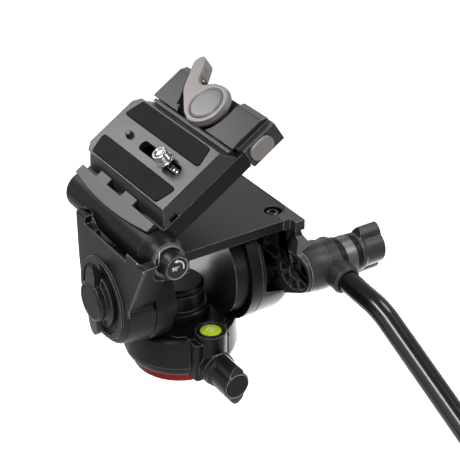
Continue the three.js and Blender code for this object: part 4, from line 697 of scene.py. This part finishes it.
def lever():
    """Lever of an arm, a grip and a skirted hub, with a line on its rim, and the cap in it."""
    arm = smooth_line(LEVER_ARM, 4, closed=False)
    hub = arc_points(LEVER_HUB, 20, -192, 48)
    upper = pressed("lever_upper", arm + hub, -9.4, LEVER_TOP, ON_PIVOT)
    grip = pressed("lever_grip", smooth_line(LEVER_GRIP, 4), LEVER_GRIP_BOTTOM, -8, ON_PIVOT)
    skirt = turned("lever_skirt", [(0, -13.6), (11.6, -13.6), (11.6, -9.6), (LEVER_SKIRT, -9.2),
                                   (LEVER_SKIRT, -6.9), (LEVER_HUB - 0.4, -6.3), (0, -6.3)],
                   ON_PIVOT, 72)
    seat = turned("lever_seat", [(0, -6.9), (11.5, -6.9), (11.5, 1), (0, 1)], ON_PIVOT, 72)
    bore = turned("lever_bore", [(0, -20), (5.3, -20), (5.3, 1), (0, 1)], ON_PIVOT, 32)
    whole = cut_with(cut_with(upper, [grip, skirt], "UNION"), [seat, bore])
    made = eased(cleaned(whole), 0.55 * MM, 3)
    keep_in_box(made, "clamp_lever")
    put("clamp_lever_formed", made, "lever", "lever_grey", ("clamp_lever",))
    rim = [(12.0, LEVER_TOP - 0.4), (12.0, LEVER_TOP - 0.02), (12.35, LEVER_TOP),
           (12.35, LEVER_TOP - 0.4)]
    put("lever_rim_line", turned_ring("lever_rim_line", rim, ON_PIVOT), "lever", "lever_grey")
    profile = [(0, -6.3), (11.2, -6.3), (11.2, -4.75), (11.0, -4.55), (10.65, -4.55),
               (10.5, -4.75), (10.5, -5.1), (10.1, -5.1), (10.1, -4.6), (9.85, -4.42),
               (6.0, -4.37), (0, -4.365)]
    cap = eased(turned("lever_cap_turned", profile, ON_PIVOT, 96), 0)
    put("lever_cap_turned", cap, "lever", "cap_grey", ("lever_cap",))


# Camera screw, its slider and the guide pin ----------------------------------

def camera_screw():
    """Screw with a flat head under the plate and a ringed tip above it."""
    place = ON_PLATE @ Matrix.Translation((SLOT_X, -21.0, 0))
    head = turned("camera_screw_head", [(0, -11), (8.3, -11), (8.3, -6), (1.9, -5.7), (1.9, 0.4),
                                        (3.0, 0.5), (3.0, 1.2), (0, 1.2)], place, 48)
    put("camera_screw_head", head, "mounting_screw", "polished_steel", ("camera_screw",))
    profile = [(0, 1.0), (2.7, 1.0), (2.9, 1.3), (4.3, 2.2), (5.35, 2.6), (5.6, 3.0), (5.6, 3.5),
               (5.3, 3.9), (4.5, 4.1), (3.9, 4.4), (3.9, 4.7), (4.55, 5.0), (4.6, 5.4),
               (4.0, 5.7), (4.0, 6.0), (4.6, 6.3), (4.6, 6.7), (4.05, 7.0), (4.05, 7.3),
               (4.65, 7.6), (4.65, 8.0), (4.2, 8.3), (4.2, 8.6), (4.7, 8.9), (4.7, 9.5),
               (4.45, 9.9), (3.7, 10.1), (3.3, 10.0), (3.1, 9.6), (2.9, 9.5), (0, 9.55)]
    put("camera_screw_tip", turned("camera_screw_tip", profile, place, 72), "mounting_screw",
        "polished_steel")


def slider():
    """Half round bar with cross grooves that runs in the slot."""
    # Half its width, its rise over the widest place, that place's height and the foot's
    half_width, rise, middle, foot = 2.85, 2.7, -3.4, -5.1
    # Place along the slot, and the bar's share of its full section there
    stations = [(-32.0, 0.5), (-31.4, 0.82), (-29.0, 0.85), (-28.7, 0.7), (-28.2, 0.7),
                (-27.9, 0.88), (-26.2, 0.88), (-25.9, 0.72), (-25.4, 0.72), (-25.1, 0.9),
                (-23.4, 0.9), (-23.1, 0.74), (-22.6, 0.74), (-22.3, 0.9), (-17.0, 0.9),
                (-15.6, 0.6)]
    points, faces, steps = [], [], 20
    for along, share in stations:
        for k in range(steps + 1):
            turn = math.pi * k / steps
            points.append((SLOT_X + half_width * math.cos(turn) * (0.4 + 0.6 * share), along,
                           middle + rise * math.sin(turn) * share))
        points += [(SLOT_X - half_width, along, foot), (SLOT_X + half_width, along, foot)]
    row = steps + 3
    for j in range(len(stations) - 1):
        for k in range(row):
            a, b = j * row + k, j * row + (k + 1) % row
            faces.append((a, b, b + row, a + row))
    faces += [tuple(range(row)), tuple(range((len(stations) - 1) * row, len(stations) * row))]
    bar = mesh_of("slider_bar", points, faces, ON_PLATE)
    put("screw_slider_bar", bar, "screw_carriage", "polished_steel", ("screw_slider",))


def guide_pin():
    """Dark waisted pin, with its top face painted lighter grey as a highlight on the metal."""
    place = ON_PLATE @ Matrix.Translation((SLOT_X, 23.3, 0))
    profile = [(0, -4.3), (3.3, -4.3), (3.35, -2.4), (2.3, -2.3), (2.2, 2.1), (1.9, 2.45),
               (0, 2.5)]
    put("video_pin_turned", turned("video_pin_turned", profile, place, 48), "guide_pin",
        "soft_black", ("video_pin",))
    # The top face is painted lighter grey as the highlight on the pin's top
    top = turned("video_pin_painted_highlight_face", [(0, 2.44), (1.85, 2.44), (1.8, 2.53), (0, 2.54)], place, 48)
    put("video_pin_painted_highlight_face", top, "guide_pin", "cap_grey")


# Screw of the bracket, bubble and drum face ----------------------------------

def bracket_screw():
    """Domed screw head with a six pointed socket."""
    low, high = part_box("bracket_screw")
    place = on_top(low, high)
    profile = [(0, -2.5), (4.3, -2.5), (4.5, -1.4), (4.1, -0.6), (3.2, -0.15), (2.4, 0), (0, 0)]
    steps, points = 72, 6
    star = [(2.15 + 0.42 * math.cos(points * math.tau * k / steps), math.tau * k / steps)
            for k in range(steps)]
    outline = [(radius * math.cos(turn), radius * math.sin(turn)) for radius, turn in star]
    socket_tool = pressed("star_socket", outline, -1.5, 1, place)
    head = cut_with(turned("bracket_screw_head", profile, place, 64), [socket_tool])
    put("bracket_screw_head", eased(cleaned(head), 0.12 * MM), "tilt_frame", "gloss_black",
        ("bracket_screw",))


def bubble():
    """The level's dome, and the air in it as a ring painted white as its reflection, with a
    painted glint.
    """
    low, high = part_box("bubble_window")
    place = on_top(low, high)
    dome = [(0, -3.3), (6.7, -3.3), (6.7, -0.9), (5.9, -0.55), (4.4, -0.25), (2.5, -0.06), (0, 0)]
    put("bubble_dome", turned("bubble_dome", dome, place, 72), "pan_body", "bubble_green",
        ("bubble_window",))
    small = place @ Matrix.Translation((-0.1, -1.1, 0))
    # The air's rim is a painted reflection and the dot a painted highlight, both in the print's
    # white
    ring = [(1.3, -0.3), (1.45, 0.0), (1.75, -0.02), (1.9, -0.3)]
    put("air_bubble", turned_ring("air_bubble", ring, small, 40), "pan_body", "mark_white")
    dot = [(0, -0.3), (0.5, -0.3), (0.45, 0.0), (0, 0.0)]
    put("air_glint", turned("air_glint", dot, small, 24), "pan_body", "mark_white")


def drum_face():
    """Machined inner face of the right drum."""
    low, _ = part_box("right_drum")
    place = placed((low[0] / MM, 0, TILT_HEIGHT), (0, 1, 0), (-1, 0, 0))
    profile = [(0, -0.05), (34.2, -0.05), (34.2, 0.1), (33.9, 0.16), (0, 0.16)]
    face = eased(turned("drum_inner_face", profile, place, 96), 0)
    put("drum_inner_face", face, "pan_body", "machined_face")


# Rosette sleeve, bar ring and side plate -------------------------------------

def rosette_sleeve():
    """Thin skirt of the bracket's boss that ends in teeth over the bar clamp."""
    steps, steps_per_tooth, tooth_rise = 144, 6, 0.9
    half_tooth = steps_per_tooth / 2
    # Place along the axis, inner radius and outer radius; the teeth stand on the last one
    stations = [(58.5, 13.9, 14.05), (60.5, 13.9, 14.5), (64.0, 14.1, 15.2), (69.0, 15.62, 15.8),
                (72.3, 15.64, 15.84)]
    last = len(stations) - 1
    points, faces = [], []
    for k, (along, low, high) in enumerate(stations):
        for radius in (low, high):
            for i in range(steps):
                heading = math.tau * i / steps
                tooth = abs(i % steps_per_tooth - half_tooth) / half_tooth if k == last else 0
                points.append((radius * math.cos(heading), radius * math.sin(heading),
                               along + tooth_rise * tooth))

    def join(a, b):
        """Faces between two rows of points."""
        a, b = a * steps, b * steps
        return [(a + i, a + (i + 1) % steps, b + (i + 1) % steps, b + i) for i in range(steps)]

    # Each station has its inner row of points and then its outer one
    for k in range(last):
        faces += join(2 * k, 2 * k + 2) + join(2 * k + 1, 2 * k + 3)
    faces += join(0, 1) + join(2 * last, 2 * last + 1)
    sleeve = eased(mesh_of("rosette_sleeve", points, faces, BAR_AXIS), 0)
    put("rosette_sleeve", sleeve, "tilt_frame", "bracket_black")


def bar_ring():
    """Satin metal ring between the clamp and the knob."""
    ring = [(12.0, 86.95), (12.62, 87.0), (12.75, 87.2), (12.75, 94.4), (12.62, 94.6),
            (12.42, 94.6), (12.42, 91.0), (12.2, 90.95), (12.0, 90.9)]
    put("bar_ring", eased(turned_ring("bar_ring", ring, BAR_AXIS), 0), "pan_bar",
        "brushed_metal", ("clamp_ring",))


def side_plate_cutters():
    """Lowers the front corner of the left plate and frees the knuckle behind its thin edge."""
    corner = placed((-50, 0, 0), (0, 1, 0), (1, 0, 0))
    front = [(8, 106.3), (60, 109.5), (60, 130), (8, 130)]
    lower = pressed("front_corner", front, -30, 3.2, corner)
    hip = pressed("hip_top", [(-4.5, -19.2), (40, -19.2), (40, 40), (-4.5, 40)], -46, -30.7,
                  ON_HINGE)
    cone = turned("hip_cone", [(0, -50), (9.7, -50), (9.7, -43.6), (12.7, -33.6), (12.7, -29),
                               (0, -29)], ON_HINGE)
    return [lower, cut_with(hip, [cone])]


def knuckle_collar():
    """Bulging collar round the end of the barrel, with a rim round the button's bore."""
    collar = [(12.95, -31.0), (13.35, -32.0), (13.45, -33.0), (13.2, -34.0), (13.15, -36.5),
              (12.75, -39.2), (11.9, -41.6), (10.9, -43.1), (10.75, -43.9), (10.4, -44.3),
              (9.9, -44.3), (9.6, -43.9), (9.4, -43.6), (9.2, -44.6), (8.9, -44.9), (8.5, -44.8),
              (8.5, -42.9), (9.6, -42.9), (12.6, -33.4), (12.7, -31.0)]
    put("knuckle_collar", eased(turned_ring("knuckle_collar", collar, ON_HINGE), 0),
        "tilt_frame", "cast_black")


def deck_lip():
    """Raised lip of the housing's deck, which dips beside the bubble column."""
    left = smooth_line([(-24.5, 3.0), (-24.6, -9.0), (-20.4, -15.6), (-19.2, -22.2),
                        (-17.0, -26.2), (-13.2, -27.6), (-12.5, -30.0), (-12.0, -32.4),
                        (-9.4, -33.6)], closed=False)
    right = smooth_line([(10.6, -33.2), (13.6, -31.6), (15.6, -29.4), (16.0, -26.4),
                         (18.6, -24.4), (19.6, -20.0), (19.4, -6.0)], closed=False)
    outline = left + right + [(12.0, -14.6), (-12.0, -14.6), (-19.0, 2.0)]
    lip = pressed("deck_lip", outline, 32.6, 33.9, upright(0, 0, 0))
    column = turned("column_room", [(0, 30), (10.0, 30), (10.0, 36), (0, 36)],
                    upright(0.5, -36, 0))
    put("deck_lip", eased(cut_with(lip, [column]), 0.3 * MM), "pan_body", "cast_black")


def drum_hood():
    """Thin hood on the tilt frame that covers the groove in the left drum."""
    # Arc in degrees from level at the rear, its ends along the tilt axis, and its inside
    first, final, left, right, inside = -11, 66, -34.4, -20.75, 32.65
    # Its thickness at the lower end, what it gains from there, and over how many steps
    thin, gain, ramp = 0.03, 0.27, 8
    points, faces, count = [], [], 57
    for i in range(count):
        heading = math.radians(first + (final - first) * i / (count - 1))
        outer = inside + thin + gain * min(1, (i + 0.5) / ramp)
        for radius, x in ((inside, left), (outer, left), (outer, right), (inside, right)):
            points.append((x, -radius * math.cos(heading),
                           TILT_HEIGHT + radius * math.sin(heading)))
    for i in range(count - 1):
        for k in range(4):
            a, b = 4 * i + k, 4 * i + (k + 1) % 4
            faces.append((a, b, b + 4, a + 4))
    faces += [(0, 1, 2, 3), tuple(4 * (count - 1) + k for k in (3, 2, 1, 0))]
    hood = mesh_of("drum_hood", points, faces, upright(0, 0, 0))
    put("drum_hood", eased(hood, 0), "tilt_frame", "plain_black")


# Quick plate -----------------------------------------------------------------

def plate_cutters():
    """Small notch in the plate's rear edge."""
    notch = [(-23.5, -49), (-18.0, -49), (-18.0, -45.2), (-23.5, -45.2)]
    return [pressed("plate_notch", notch, -12.5, -8.2, ON_PLATE)]


# The whole -------------------------------------------------------------------

# Nodes whose pieces are formed above; every other node gets a softened copy
FORMED = {"flip_button", "clamp_lever", "lever_cap", "camera_screw", "screw_slider",
          "video_pin", "bracket_screw", "bubble_window", "clamp_ring"}
# What is cut from a softened copy
CUTTERS = {"camera_plate": plate_cutters, "left_side_plate": side_plate_cutters}

place_camera()
build_studio()
finishes = make_finishes()
for node in sorted(set(NODES) - FORMED):
    soften(node, CUTTERS[node]() if node in CUTTERS else ())
flip_button()
lever()
camera_screw()
slider()
guide_pin()
bracket_screw()
bubble()
drum_face()
rosette_sleeve()
bar_ring()
knuckle_collar()
drum_hood()
deck_lip()
